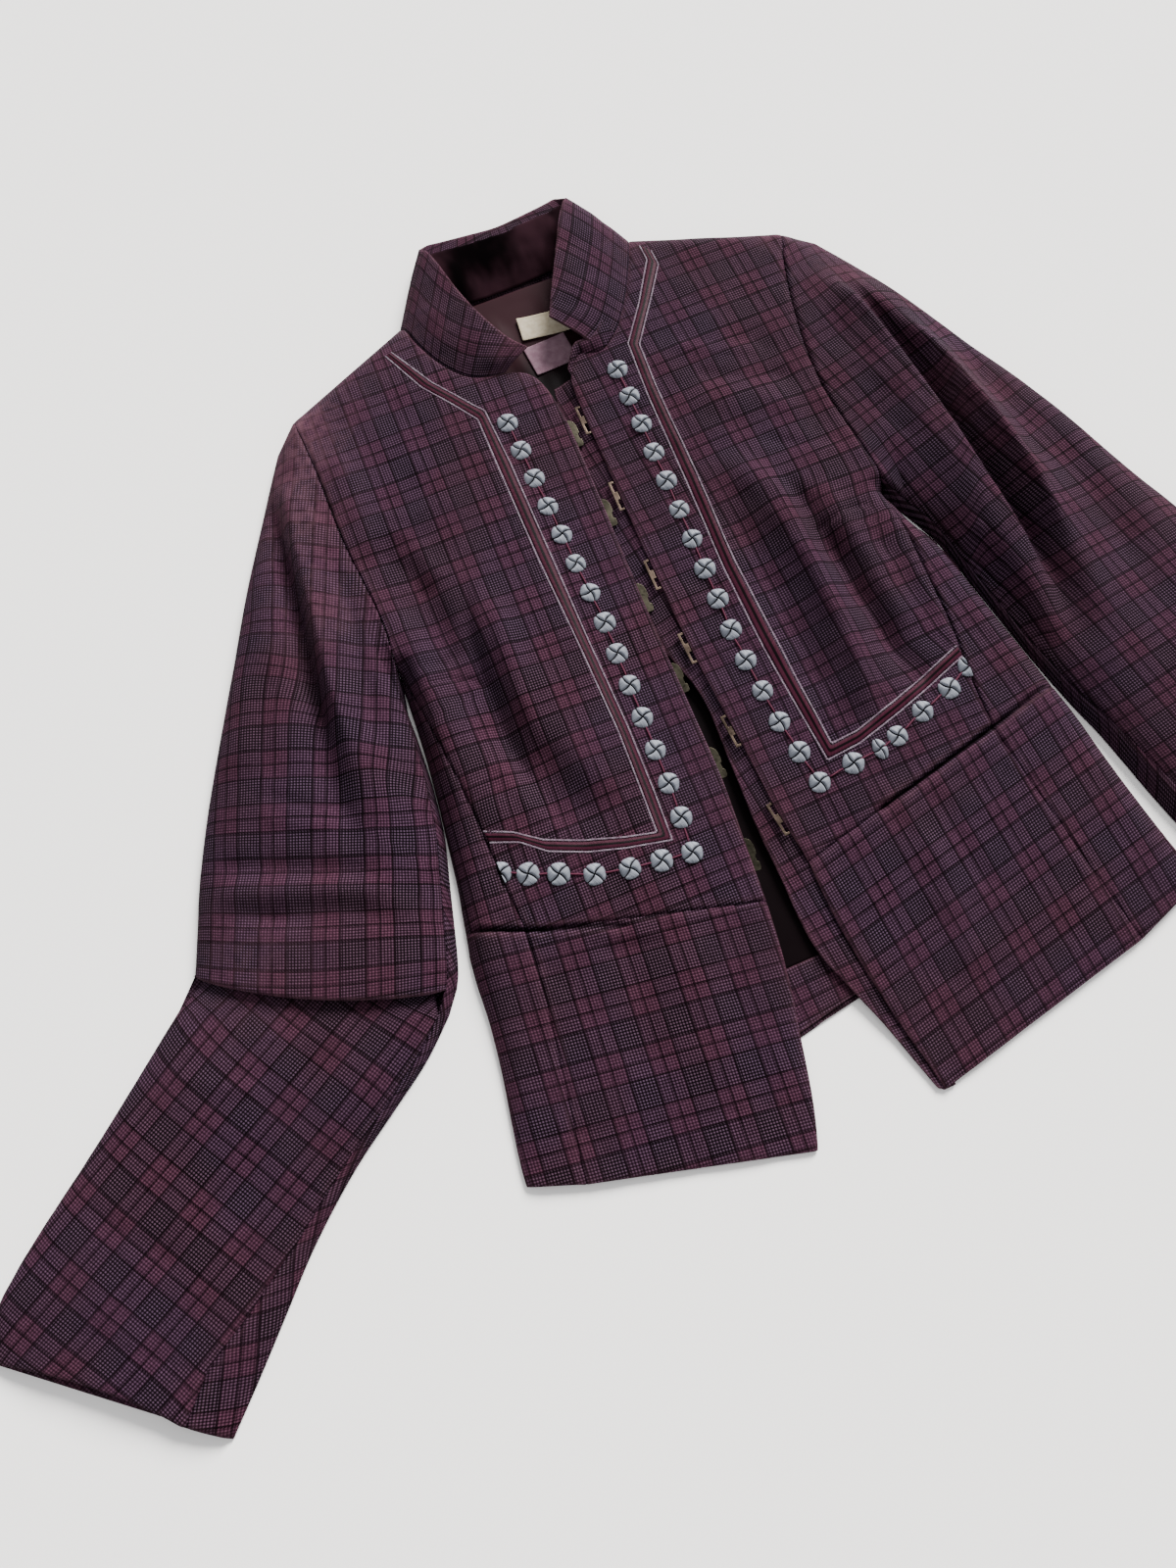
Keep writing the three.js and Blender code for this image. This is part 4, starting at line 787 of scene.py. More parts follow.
def roundedUnder(table, at, shift, armhole, folds, seed):
    # the under sleeve: from the seam over the inner edge, below, and up to the outer edge
    seam = seamAt(table, at, shift)
    ends = sleeveSurface(table, folds, at, np.hstack([np.zeros_like(seam), np.ones_like(seam)]), armhole, seed)
    outerEdge, innerEdge = ends[:, :1], ends[:, 1:]
    steps = np.linspace(0, 1, 9)[None, :]
    upper = sleeveSurface(table, folds, at, seam + (1 - seam) * steps, armhole, seed)
    upper[..., 2] -= 0.15
    across = outerEdge - innerEdge
    across[..., 2] = 0
    across = across / np.linalg.norm(across, axis=-1, keepdims=True)
    radius = upper[:, -1:, 2:] / 2
    parts = [upper]
    for turn in np.linspace(0.16, 1, 6):
        angle = math.pi * turn
        ring = innerEdge - across * 0.9 * radius * math.sin(angle)
        ring = np.concatenate([ring[..., :2], radius + radius * math.cos(angle)], axis=-1)
        parts.append(ring)
    bottomSteps = np.linspace(0.02, 0.98, 36)[None, :, None]
    bottom = innerEdge * (1 - bottomSteps) + outerEdge * bottomSteps
    bottom[..., 2] = 0
    parts.append(bottom)
    for turn in np.linspace(0.1, 0.8, 5):
        angle = math.pi * turn
        lift = 1.05 - 1.05 * math.cos(angle)
        ring = outerEdge + across * 0.9 * math.sin(angle)
        ring = np.concatenate([ring[..., :2], np.full_like(ring[..., 2:], lift)], axis=-1)
        parts.append(ring)
    return np.concatenate(parts, axis=1)


def sleeveTop(name, nodes, table, folds, armhole, grain, seed, lip=False, cuff=False, tuck=None):
    shift = 1 if armhole else 0
    places = np.asarray([row[:4] for row in table], float)
    stations = evenStations(places, sleeve["spacing"])
    if armhole:
        stations = np.concatenate([np.linspace(0, 1, 12)[:-1], stations + 1])
    shares = topShares(92)[None, :] * seamAt(table, stations, shift)
    grid = sleeveSurface(table, folds, stations, shares, armhole, seed)
    if tuck is not None:
        grid = np.concatenate([tuck(shares[0]), grid])
    drop, wearAndShade = edgeWork(grid, {"end": "seam", **({"first": "seam"} if armhole else {}),
        **({"last": "hem"} if cuff else {})}, seed)
    uv = clothUv(grid, grains[grain])
    if cuff:
        # the cuff's top edge lies back a little and gapes, so the under sleeve shows past it
        fromEnd = np.linalg.norm(grid - grid[-1:], axis=-1)
        share = np.linspace(0, 1, grid.shape[1])[None, :]
        gape = np.sin(math.pi * np.clip(share * 1.05, 0, 1)) * np.exp(-fromEnd / 26)
        back = grid[-8] - grid[-1]
        back = back / np.linalg.norm(back, axis=-1, keepdims=True)
        grid = grid + back[None, ...] * (5.5 * gape)[..., None]
        grid[..., 2] += 1.2 * gape
    grid[..., 2] = np.maximum(grid[..., 2] - drop, 2.2)
    if lip:
        # the elbow's fold edge rolls over and under
        ahead = grid[-1] - grid[-5]
        ahead = ahead / np.linalg.norm(ahead, axis=-1, keepdims=True)
        share = 1 - 0.92 * np.abs(np.linspace(-1, 1, grid.shape[1]))[:, None] ** 10
        roll = []
        for turn in np.linspace(0.15, 1, 7):
            angle = turn * math.radians(165)
            reach = 2.4 * math.sin(angle) * share
            sink = np.minimum(2.1, (grid[-1][:, 2:] - 2.4) * 0.28) * (1 - math.cos(angle)) * share
            roll.append(grid[-1] + ahead * (reach + 0.3 * turn) - np.array((0, 0, 1)) * sink)
        grid = np.concatenate([grid, np.stack(roll)])
        uv = clothUv(grid, grains[grain])
        extra = np.tile(np.array([0.25, 0.6, 0.6, 0.3, 0.1, 0, 0])[:, None], (1, grid.shape[1]))
        wearAndShade = np.concatenate([wearAndShade, extra])
    normal = normalsOf(grid)
    middle = normal[len(normal) // 2, normal.shape[1] // 2, 2]
    inner = grid - normal * math.copysign(sleeve["thickness"], middle)
    inner[..., 2] = np.maximum(inner[..., 2], 1.0)
    piece = shell(name, grid, inner, uv, wearAndShade, cloth)
    dress(piece, nodes, measured(grid))
    return grid


def sleeveUnder(name, nodes, tables, folds, armhole, grain, seed):
    parts = []
    for index, table in enumerate(tables):
        places = np.asarray([row[:4] for row in table], float)
        stations = evenStations(places, 4.5)
        shift = 0
        hole = armhole if index == 0 else None
        if hole:
            stations = np.concatenate([np.linspace(0, 1, 7)[:-1], stations + 1])
            shift = 1
        parts.append(roundedUnder(table, stations, shift, hole, folds, seed))
    grid = np.concatenate(parts)
    drop, wearAndShade = edgeWork(grid, {"start": "seam", "end": "seam", "last": "hem"}, seed)
    low = grid[..., 2] < 0.05
    grid[..., 2] = np.where(low, 0, np.maximum(grid[..., 2] - drop * 0.5, 0))
    normal = normalsOf(grid)
    below = normal[len(normal) // 2, 30, 2]
    thickness = 1.2 * (1 if below < 0 else -1)
    inner = grid - normal * thickness
    inner[..., 2] = np.where(low, 1.2, inner[..., 2])
    inner[..., 2] = np.clip(inner[..., 2], 0.4, None)
    piece = shell(name, grid, inner, clothUv(grid, grains[grain], 8), wearAndShade, cloth)
    dress(piece, nodes, measured(grid))


def foreTuck(shares):
    # the forearm's first stretch, out of sight in the upper sleeve
    last, first = np.asarray(rightUpperArm[-1], float), np.asarray(rightForearm[0], float)
    axis = (first[:2] + first[2:4] - last[:2] - last[2:4]) / 2
    axis = axis / np.linalg.norm(axis)
    rows = []
    for share, crown in ((1, 12), (0.7, 12.6), (0.45, 13), (0.2, 13.4), (-0.06, 13.8)):
        move = axis * (3.2 - 20 * share)
        outer, inner = last[:2] + move, last[2:4] + move
        unit = (inner - outer) / np.linalg.norm(inner - outer)
        outer, inner = outer + unit * 6, inner - unit * 6
        x = outer[0] + (inner[0] - outer[0]) * shares
        y = outer[1] + (inner[1] - outer[1]) * shares
        cover = np.sqrt(np.maximum(0, 1 - np.abs(2 * shares - 1) ** sleeve["full"]))
        rows.append(np.stack([x, y, 2.4 + (crown - 2.4) * cover], axis=-1))
    return np.stack(rows)


print("sleeves")
rightArmFolds = rightSleeveFolds + rightSleeveCreases
leftArmFolds = leftSleeveFolds + leftSleeveCreases
sleeveTop("cloth_sleeve_top_right", ["sleeve_top_right"], rightUpperArm, rightArmFolds, (right, -1),
    "sleeve_right", 41, lip=True)
sleeveTop("cloth_sleeve_fore_right", ["sleeve_fore_right"], rightForearm, rightArmFolds, None, "forearm_right", 42,
    cuff=True, tuck=foreTuck)
sleeveTop("cloth_sleeve_top_left", ["sleeve_top_left"], leftArm, leftArmFolds, (left, 1), "sleeve_left", 43,
    cuff=True)
sleeveUnder("cloth_sleeve_under_right", ["sleeve_under_right"], [rightUpperArm, rightForearm], rightArmFolds,
    (right, -1), "forearm_right", 41)
sleeveUnder("cloth_sleeve_under_left", ["sleeve_under_left"], [leftArm], leftArmFolds, (left, 1), "sleeve_left", 43)


# Back, its satin lining and the hem facing that shows between the fronts

backPanel = {
    "neck": [(-94, 105.4), (-88, 107.6), (-36, 106.8), (30, 109.6), (78, 112.4), (85, 111.4)],
    "hem": [(-232, -473), (-120, -466), (-46, -458), (-3, -450), (100, -456), (224, -468)]}


def flatGrid(first, last, lefts, rights, spacing):
    # rows between two side lines; the first and last rows follow their own curves, which fade out
    sides = np.stack([np.asarray(lefts, float), np.asarray(rights, float)], axis=1)
    fine = spline(sides, evenStations(sides, spacing))
    columns = int(round(np.linalg.norm(fine[:, 1] - fine[:, 0], axis=1).mean() / spacing)) + 1
    share = np.linspace(0, 1, columns)
    plan = fine[:, :1] * (1 - share)[None, :, None] + fine[:, 1:] * share[None, :, None]
    for row, line in ((0, first), (-1, last)):
        if line is None:
            continue
        target = pointsAlong(line, 200)
        offset = np.interp(plan[row, :, 0], target[:, 0], target[:, 1]) - plan[row, :, 1]
        fade = np.exp(-np.abs(plan[:, columns // 2, 1] - plan[row, columns // 2, 1]) / 14)[:, None]
        plan[..., 1] += offset[None, :] * fade
    return plan


def flatPiece(name, nodes, plan, bottom, thickness, heights, grain, material, shade=None):
    low = np.concatenate([plan, np.full(plan.shape[:2] + (1,), bottom)], axis=2)
    top = low.copy()
    top[..., 2] += thickness + heights
    if bottom > 0.5:
        low[..., 2] += np.maximum(heights, 0)
    wearAndShade = edgeWork(top, {"first": "fold", "last": "fold"}, 5)[1] if shade is None else np.clip(shade, 0, 1)
    uv = clothUv(top, grains[grain]) if grain else plan
    piece = shell(name, top, low, uv, wearAndShade, material)
    return dress(piece, nodes, measured(top))


print("back and lining")
armRight, armLeft = right["armhole"], left["armhole"]
rightLine = [(x + 0.4, y) for x, y in [(-94,
    105.4)] + armRight + rightSideEdge[1:] + [r[4:6] for r in rightSkirt[1:]]]
leftLine = [(x - 0.4, y) for x, y in [(85, 111.4)] + armLeft + leftSideEdge[1:] + [r[4:6] for r in leftSkirt[1:]]]
backPlan = flatGrid(backPanel["neck"], backPanel["hem"], rightLine, leftLine, 4.5)
flatPiece("cloth_back", ["back"], backPlan, 0, 1.35, 0.12 * ripple(backPlan[..., 0], backPlan[..., 1], 51, 1),
    "back", clothInShade)

liningRows = [(-88, 103.6), (-78, 60), (-60, -20), (-62, -110), (-64, -200), (-70, -310), (-76, -417.8)]
liningEnds = [(74, 105), (58, 60), (30, -40), (28, -120), (26, -200), (24, -310), (22, -417.8)]
liningPlan = flatGrid(None, None, liningRows, liningEnds, 2.5)
lx, ly = liningPlan[..., 0], liningPlan[..., 1]
liningFolds = [
    (0.9, 5, [(-34, 98), (-28, 60), (-20, 10), (-16, -60)]), (0.8, 4, [(10, 100), (8, 60), (4, 30), (-4, -20)]),
    (0.7, 5, [(-10, 40), (-12, 0), (-14, -80), (-14, -160)])]
liningTop = np.clip(foldsAt(liningFolds, lx, ly) + 0.15 * ripple(lx, ly, 52, 1), 0, 1.2)
# the lining's painted shade: near black from just below the labels downwards, where the gap between the fronts lies
# in shadow
flatPiece("lining_back", ["back_lining"], liningPlan, 1.9, 0.9, liningTop, None, satin,
    shade=0.95 * smooth((54 - ly) / 30))
facingRows = [(-84, -418.4), (-84, -440), (-84, -459)]
facingEnds = [(34, -418.4), (36, -436), (36, -451)]
facingPlan = flatGrid(None, [(-84, -459), (-46, -455.4), (-3, -447.4), (36, -451)], facingRows, facingEnds, 2.0)
flatPiece("cloth_hem_facing", ["back_hem_facing"], facingPlan, 1.9, 0.95, np.zeros(facingPlan.shape[:2]), "back",
    cloth)

# Blank labels in the back neck
labels = {
    "label_cream": {"centre": (2, 69), "size": (36, 19), "turn": -0.12, "cloth": creamLabelCloth, "curl": 0.5},
    "label_mauve": {"centre": (-3, 44), "size": (32, 24), "turn": 0.06, "cloth": mauveLabelCloth, "curl": 0.3}}
for name, label in labels.items():
    w, d = label["size"]
    gx, gy = np.meshgrid(np.linspace(-w / 2, w / 2, 37), np.linspace(d / 2, -d / 2, 25))
    c, s = math.cos(label["turn"]), math.sin(label["turn"])
    plan = np.stack([label["centre"][0] + gx * c - gy * s, label["centre"][1] + gx * s + gy * c], axis=-1)
    curl = label["curl"] * (np.abs(gx) / (w / 2)) ** 4 + 0.12 * ripple(plan[..., 0] * 2, plan[..., 1] * 2, 53, 1)
    top = np.concatenate([plan, (3.85 + liningTop.max() * 0.25 + curl)[..., None]], axis=2)
    low = top - (0, 0, 0.5)
    edgeAway = np.minimum(w / 2 - np.abs(gx), d / 2 - np.abs(gy))
    stitch = np.exp(-((edgeAway - 1.3) / 0.35) ** 2) * (np.sin((gx + gy) * 3.2) > -0.2)
    piece = shell(f"blank_{name}", top, low, np.stack([gx, gy], axis=-1), stitch, label["cloth"])
    dress(piece, [name], measured(top))


# Stand collar and its velvet inside

rightLeafTop = [(-60, 157, 13), (-59, 150, 20), (-57, 142, 25), (-54, 126, 28), (-49, 100, 28), (-41, 75, 27),
    (-31, 53, 26), (-21, 42, 24)]
leftLeafTop = [(56, 158, 13), (54, 152, 20), (49, 145, 25), (40, 130, 28), (29, 109, 28), (19, 90, 27),
    (10, 73, 26), (3, 59, 24)]
backCollar = [
    (-89, 109.4, 1.0, -54, 163, 6.5), (-72, 108.9, 0.2, -42, 162, 6.0), (-40, 107.8, 0, -22, 160, 6.0),
    (-8, 108.6, 0, -2, 158, 6.5),
    (24, 110.2, 0, 16, 160, 6.0), (58, 112.4, 0.2, 38, 163, 6.0), (79, 113.8, 1.0, 51, 165, 6.5)]


def leafRows(side, tops):
    rows = []
    for row, top in zip(side["bodice"], tops):
        x, y = row[:2]
        rows.append((x, y, heightOf(side, x, y), *top))
    return rows


collarRows = leafRows(right, rightLeafTop)[::-1] + backCollar + leafRows(left, leftLeafTop)
collarAt = np.linspace(0, len(collarRows) - 1, 190)
collarFine = spline(collarRows, collarAt)
rise = np.linspace(0, 1, 30)
base, top = collarFine[:, None, :3], collarFine[:, None, 3:]
collarGrid = base * (1 - rise)[None, :, None] + top * rise[None, :, None]
collarGrid[..., 2] += 2.2 * np.sin(math.pi * rise)[None, :]
cx, cy = collarGrid[..., 0], collarGrid[..., 1]
collarGrid[..., 2] += 0.5 * ripple(cx * 1.3, cy * 1.3, 61, 1) * np.sin(math.pi * rise)[None, :]
collarGrid = collarGrid[::-1]
collarNormal = normalsOf(collarGrid)
outSign = 1 if collarNormal[10, 15, 0] * collarGrid[10, 15, 0] > 0 else -1
collarInner = collarGrid - collarNormal * 1.6 * outSign
collarWearAndShade = edgeWork(collarGrid, {"start": "seam", "end": "fold", "first": "fold", "last": "fold"}, 62)[1]
collarArc = np.concatenate([[0], np.cumsum(np.linalg.norm(np.diff(collarGrid[:, 15], axis=0), axis=-1))])
collarUp = np.concatenate([np.zeros((190, 1)),
    np.cumsum(np.linalg.norm(np.diff(collarGrid, axis=1), axis=-1), axis=1)], axis=1)
collarUv = np.stack([np.broadcast_to(collarArc[:, None] / 31.5, collarUp.shape), collarUp / 35.5 + 0.35], axis=-1)
print("collar")
collar = shell("cloth_collar", collarGrid, collarInner, collarUv, collarWearAndShade, cloth)
dress(collar, ["collar"], measured(collarGrid))

velvetStart, velvetEnd = 66, 124
velvetGrid = collarInner[velvetStart:velvetEnd, :25] - collarNormal[velvetStart:velvetEnd, :25] * 0.45 * outSign
velvetFold = ripple(velvetGrid[..., 0] * 1.6, velvetGrid[..., 1] * 0.5, 63, 0.8)
velvetGrid = velvetGrid - collarNormal[velvetStart:velvetEnd, :25] * (0.3 + np.abs(velvetFold))[..., None] * outSign
velvetGrid[..., 2] = np.maximum(velvetGrid[..., 2], 2.0)
velvetIn = velvetGrid - collarNormal[velvetStart:velvetEnd, :25] * 0.9 * outSign
velvetPiece = shell("velvet_collar", velvetIn, velvetGrid, np.zeros(velvetGrid.shape[:2] + (2,)),
    np.zeros(velvetGrid.shape[:2]), velvet)
dress(velvetPiece, ["collar_lining"], measured(velvetGrid))

# Underlap strip below the left front's edge
underlapEdge = [
    (-13, 12, 9.5), (-19, -16, 9.5), (-23, -48, 9.5), (-25, -84, 9.2), (-25.5, -116, 9.2), (-26, -156, 9),
    (-23, -196, 9),
    (-13, -238, 9), (-15, -284, 9), (-17.5, -330, 8.5), (-17.5, -366, 7.5), (-18, -394, 6.6), (-16, -418, 6.6),
    (-8, -443, 5.6),
    (2, -472, 4.2), (9, -497, 2.8), (14.5, -517, 2.3)]
leftFrontEdge = [r[:2] for r in leftBodice[9:]] + [r[:2] for r in leftSkirt[1:]]
strip = []
for (x, y, z), (edgeX, edgeY) in zip(underlapEdge, leftFrontEdge):
    tucked = [edgeX + 7, edgeX + 3.5, edgeX - 0.5]
    row = []
    for px in tucked:
        near = min(heightOf(left, px + dx, edgeY) for dx in (-2, 0, 2))
        row.append((px, edgeY, max(near - 2.5, 2.4)))
    edgeZ = row[2][2]
    row += [((edgeX + x) / 2, (edgeY + y) / 2, edgeZ + (z - edgeZ) * 0.6), (x, y, max(z, 2.1))]
    strip.append(row)
strip = spline(strip, evenStations([row[2][:2] for row in strip], 2.2))
strip = np.stack([spline(row, np.linspace(0, 4, 22)) for row in strip])
strip[..., 2] += 0.3 * ripple(strip[..., 0] * 1.5, strip[..., 1] * 1.5, 64, 1) * np.linspace(0, 1, 22)[None, :]
strip[..., 2] = np.maximum(strip[..., 2], 1.9)
stripWearAndShade = edgeWork(strip, {"end": "fold", "first": "fold", "last": "hem"}, 65)[1]

# The neck edge's end rolls up between the collar and the left front
curlLow = [(0.5, 14), (11, 27.5), (20, 25.5), (29, 24.5), (41, 33)]
curlTop = [(0.5, 20), (11, 34.5), (21, 36), (30, 38.5), (36, 49)]
low, top = pointsAlong(spline(curlLow, np.linspace(0, 4, 60)),
    60), pointsAlong(spline(curlTop, np.linspace(0, 4, 60)), 60)
share = np.linspace(0, 1, 12)[None, :, None]
curlPlan = top[:, None] * (1 - share) + low[:, None] * share
rise = 3.4 * np.sin(math.pi * (1 - share[..., 0]) * 0.62) * smooth(np.linspace(0, 3, 60))[:, None]
curl = np.concatenate([curlPlan, (left["heightAt"](curlPlan[..., 0],
    np.minimum(curlPlan[..., 1], 30)) + 0.3 + rise)[..., None]], axis=2)
curlWear = 0.5 * np.exp(-share[..., 0] * 8) + np.zeros(rise.shape)
curlPiece = shell("cloth_neck_curl", curl, curl - (0, 0, 1.2), clothUv(curl, grains["front_left"], 6), curlWear,
    cloth)
dress(curlPiece, [], measured(curl))
print("underlap")
stripPiece = shell("cloth_underlap", strip, strip - (0, 0, 1.3), clothUv(strip, grains["underlap"], 0), stripWearAndShade,
    cloth)
dress(stripPiece, ["underlap"], measured(strip))


# Repeated pieces: a template is set on points by a node tree

def setOnPoints(name, template, spots, material, size=1.0, variation=0.0, seed=1):
    tree = bpy.data.node_groups.new(f"{name}_layout", "GeometryNodeTree")
    face = tree.interface
    face.new_socket("Geometry", in_out="INPUT", socket_type="NodeSocketGeometry")
    sizeSocket = face.new_socket("Size", in_out="INPUT", socket_type="NodeSocketFloat")
    varySocket = face.new_socket("Size Variation", in_out="INPUT", socket_type="NodeSocketFloat")
    seedSocket = face.new_socket("Seed", in_out="INPUT", socket_type="NodeSocketInt")
    shapeSocket = face.new_socket("Template", in_out="INPUT", socket_type="NodeSocketObject")
    finishSocket = face.new_socket("Finish", in_out="INPUT", socket_type="NodeSocketMaterial")
    face.new_socket("Geometry", in_out="OUTPUT", socket_type="NodeSocketGeometry")
    add, link = tree.nodes.new, tree.links.new
    start, end = add("NodeGroupInput"), add("NodeGroupOutput")
    shape = add("GeometryNodeObjectInfo")
    turn = add("GeometryNodeInputNamedAttribute")
    turn.data_type = "FLOAT_VECTOR"
    turn.inputs["Name"].default_value = "turn"
    rotate = add("FunctionNodeEulerToRotation")
    vary = add("FunctionNodeRandomValue")
    vary.data_type = "FLOAT"
    lower, upper = add("ShaderNodeMath"), add("ShaderNodeMath")
    lower.operation, upper.operation = "SUBTRACT", "ADD"
    place = add("GeometryNodeInstanceOnPoints")
    realize = add("GeometryNodeRealizeInstances")
    paint = add("GeometryNodeSetMaterial")
    link(start.outputs["Template"], shape.inputs["Object"])
    link(start.outputs["Size"], lower.inputs[0])
    link(start.outputs["Size Variation"], lower.inputs[1])
    link(start.outputs["Size"], upper.inputs[0])
    link(start.outputs["Size Variation"], upper.inputs[1])
    floatInputs = [s for s in vary.inputs if s.type == "VALUE" and s.enabled]
    link(lower.outputs[0], floatInputs[0])
    link(upper.outputs[0], floatInputs[1])
    link(start.outputs["Seed"], vary.inputs["Seed"])
    floatOutput = [s for s in vary.outputs if s.type == "VALUE" and s.enabled][0]
    link(turn.outputs["Attribute"], rotate.inputs[0])
    link(start.outputs["Geometry"], place.inputs["Points"])
    link(shape.outputs["Geometry"], place.inputs["Instance"])
    link(rotate.outputs[0], place.inputs["Rotation"])
    link(floatOutput, place.inputs["Scale"])
    link(place.outputs["Instances"], realize.inputs["Geometry"])
    link(realize.outputs["Geometry"], paint.inputs["Geometry"])
    link(start.outputs["Finish"], paint.inputs["Material"])
    link(paint.outputs["Geometry"], end.inputs["Geometry"])
    points = bpy.data.meshes.new(f"{name}_points")
    points.from_pydata([metres(spot).tolist() for spot, _ in spots], [], [])
    turns = np.array([axes.to_euler() for _, axes in spots], float)
    points.attributes.new("turn", "FLOAT_VECTOR", "POINT").data.foreach_set("vector", turns.ravel())
    carrier = addObject(f"{name}_carrier", points)
    layoutModifier = carrier.modifiers.new("layout", "NODES")
    layoutModifier.node_group = tree
    for socket, value in ((sizeSocket, size), (varySocket, variation), (seedSocket, seed), (shapeSocket, template),
            (finishSocket, material)):
        layoutModifier[socket.identifier] = value
    ready = carrier.evaluated_get(bpy.context.evaluated_depsgraph_get())
    mesh = bpy.data.meshes.new_from_object(ready)
    mesh.name = name
    piece = addObject(name, mesh)
    bpy.data.objects.remove(carrier)
    bpy.data.objects.remove(template)
    mesh.shade_smooth()
    return piece


def smallShape(name, points, faces, uv=None, extras=None):
    # a small shape in metres about its own middle
    piece = meshPiece(name, np.asarray(points, float) - (layout["shiftX"], layout["shiftY"], 0), faces, cloth, uv,
        extras)
    piece.data.materials.clear()
    return piece


def surfaceAxes(side, x, y, heading, spin=0.0):
    # x axis along the heading, z axis out of the cloth
    slopeX = (heightOf(side, x + 2, y) - heightOf(side, x - 2, y)) / 4
    slopeY = (heightOf(side, x, y + 2) - heightOf(side, x, y - 2)) / 4
    up = Vector((-slopeX, -slopeY, 1)).normalized()
    ahead = Vector((math.cos(heading), math.sin(heading), 0))
    ahead = (ahead - up * ahead.dot(up)).normalized()
    axes = Matrix((ahead, up.cross(ahead), up)).transposed()
    return axes @ Matrix.Rotation(spin, 3, "Z")


disc = {"radius": 7.15, "height": 2.3, "twist": 0.38, "groove": 1.7, "grooveWidth": 0.6, "notch": 0.105,
    "lift": 0.3, "spin": 0.3}


def discTemplate(narrow=1.0):
    # four satin-stitched quarters that meet in a swirled cross, each one domed; every other quarter carries painted
    # shade
    quarter = [0, 0.03, 0.06, 0.1, 0.16, 0.24, 0.34, 0.46, 0.58, 0.7, 0.8, 0.87, 0.92, 0.96]
    turns = np.concatenate([(np.array(quarter) + q) * math.pi / 2 for q in range(4)])
    quarters = np.repeat(np.arange(4), len(quarter))
    rings = np.array([0.04, 0.11, 0.2, 0.31, 0.43, 0.55, 0.67, 0.78, 0.87, 0.94, 0.985, 1.0])
    points, uv, arms, quarterShades = [(0, 0, disc["height"] - disc["groove"])], [(0, 0)], [0.0], [0.5]
    for r in rings:
        for q, angle in zip(quarters, turns):
            local = angle - q * math.pi / 2
            away = r * disc["radius"] * min(math.sin(local), math.cos(local))
            theta = angle + disc["twist"] * (1 - r) ** 1.2
            reach = r * disc["radius"] * (1 + 0.03 * math.sin(4 * angle + 0.9))
            reach *= 1 - disc["notch"] * r ** 2 * math.exp(-((away / 0.8) ** 2))
            x, y = reach * math.cos(theta) * narrow, reach * math.sin(theta)
            dome = disc["height"] * (1 - r ** 2.4) ** 0.6 * (0.72 + 0.28 * math.sin(2 * local)) if r < 1 else 0
            z = dome - disc["groove"] * math.exp(-((away / disc["grooveWidth"]) ** 2)) * (1 - r ** 5)
            points.append((x, y, max(z, 0.05) if r < 1 else 0))
            sew = q * math.pi / 2 + disc["twist"] * (1 - r)
            uv.append((x * math.cos(sew) + y * math.sin(sew), -x * math.sin(sew) + y * math.cos(sew)))
            arms.append(away)
            # painted shade: odd quarters are darkened most in their middle, standing in for the light their threads
            # catch less
            quarterShades.append(0.25 + 0.75 * (q % 2) * math.sin(2 * local) ** 0.5 if local > 0 else 0.25)
    count = len(turns)
    faces = [(0, 1 + i, 1 + (i + 1) % count) for i in range(count)]
    for k in range(len(rings) - 1):
        a, b = 1 + k * count, 1 + (k + 1) * count
        faces += [(a + i, b + i, b + (i + 1) % count, a + (i + 1) % count) for i in range(count)]
    rim = 1 + (len(rings) - 1) * count
    under = len(points)
    points.append((0, 0, -0.25))
    uv.append((0, 0))
    arms.append(2.0)
    quarterShades.append(0.5)
    faces += [(rim + (i + 1) % count, rim + i, under) for i in range(count)]
    return smallShape("disc_template", points, faces, uv, {"arm": arms, "tone": quarterShades})


discRows = {
    "right": {"side": right, "front": [(-55, -5), (-54, -60), (-53, -121), (-52, -168), (-56, -240), (-59, -300),
    (-63, -331)],
              "waist": [(-82.5, -328.4), (-102.6, -325.5), (-124.1, -320.3), (-144.4, -311.7), (-161.8, -304.3)],
              "half": (-177.3, -297, 1)},
    "left": {"side": left, "front": [(32, 5), (29, -64), (26, -136), (21.5, -218), (24, -276), (30, -321)],
             "waist": [(54.7, -318.3), (74.4, -316.6), (88.7, -313), (110.9, -304.6), (134, -297.3)],
             "half": (152.3, -288.8, -1),
             "narrow": (74.4, -316.6, 0.65)}}


def tube(path, radius, sides, taper=None):
    # closed tube round a path of points, in its own small frame
    path = np.asarray(path, float)
    points, uv, faces = [], [], []
    ahead = np.gradient(path, axis=0)
    along = np.concatenate([[0], np.cumsum(np.linalg.norm(np.diff(path, axis=0), axis=1))])
    for i, (centre, direction) in enumerate(zip(path, ahead)):
        direction = direction / np.linalg.norm(direction)
        across = np.cross((0, 0, 1), direction)
        across = across / np.linalg.norm(across)
        up = np.cross(direction, across)
        r = radius * (taper[i] if taper is not None else 1)
        for k in range(sides):
            angle = 2 * math.pi * k / sides
            points.append(centre + r * (across * math.cos(angle) + up * math.sin(angle)))
            uv.append((along[i], k / sides))
    for i in range(len(path) - 1):
        for k in range(sides):
            n = (k + 1) % sides
            faces.append((i * sides + k, i * sides + n, (i + 1) * sides + n, (i + 1) * sides + k))
    faces.append(tuple(range(sides))[::-1])
    faces.append(tuple((len(path) - 1) * sides + k for k in range(sides)))
    return points, faces, uv


def spotOn(side, x, y, lift, heading, spin):
    return (x, y, heightOf(side, x, y) + lift), surfaceAxes(side, x, y, heading, spin)


def spotsBetween(side, line, lift, sway):
    # one spot in the middle of each stretch of a line, turned along it
    spots = []
    for (ax, ay), (bx, by) in zip(line, line[1:]):
        heading = math.atan2(by - ay, bx - ax)
        spots.append(spotOn(side, (ax + bx) / 2, (ay + by) / 2, lift, heading, spins.uniform(-sway, sway)))
    return spots


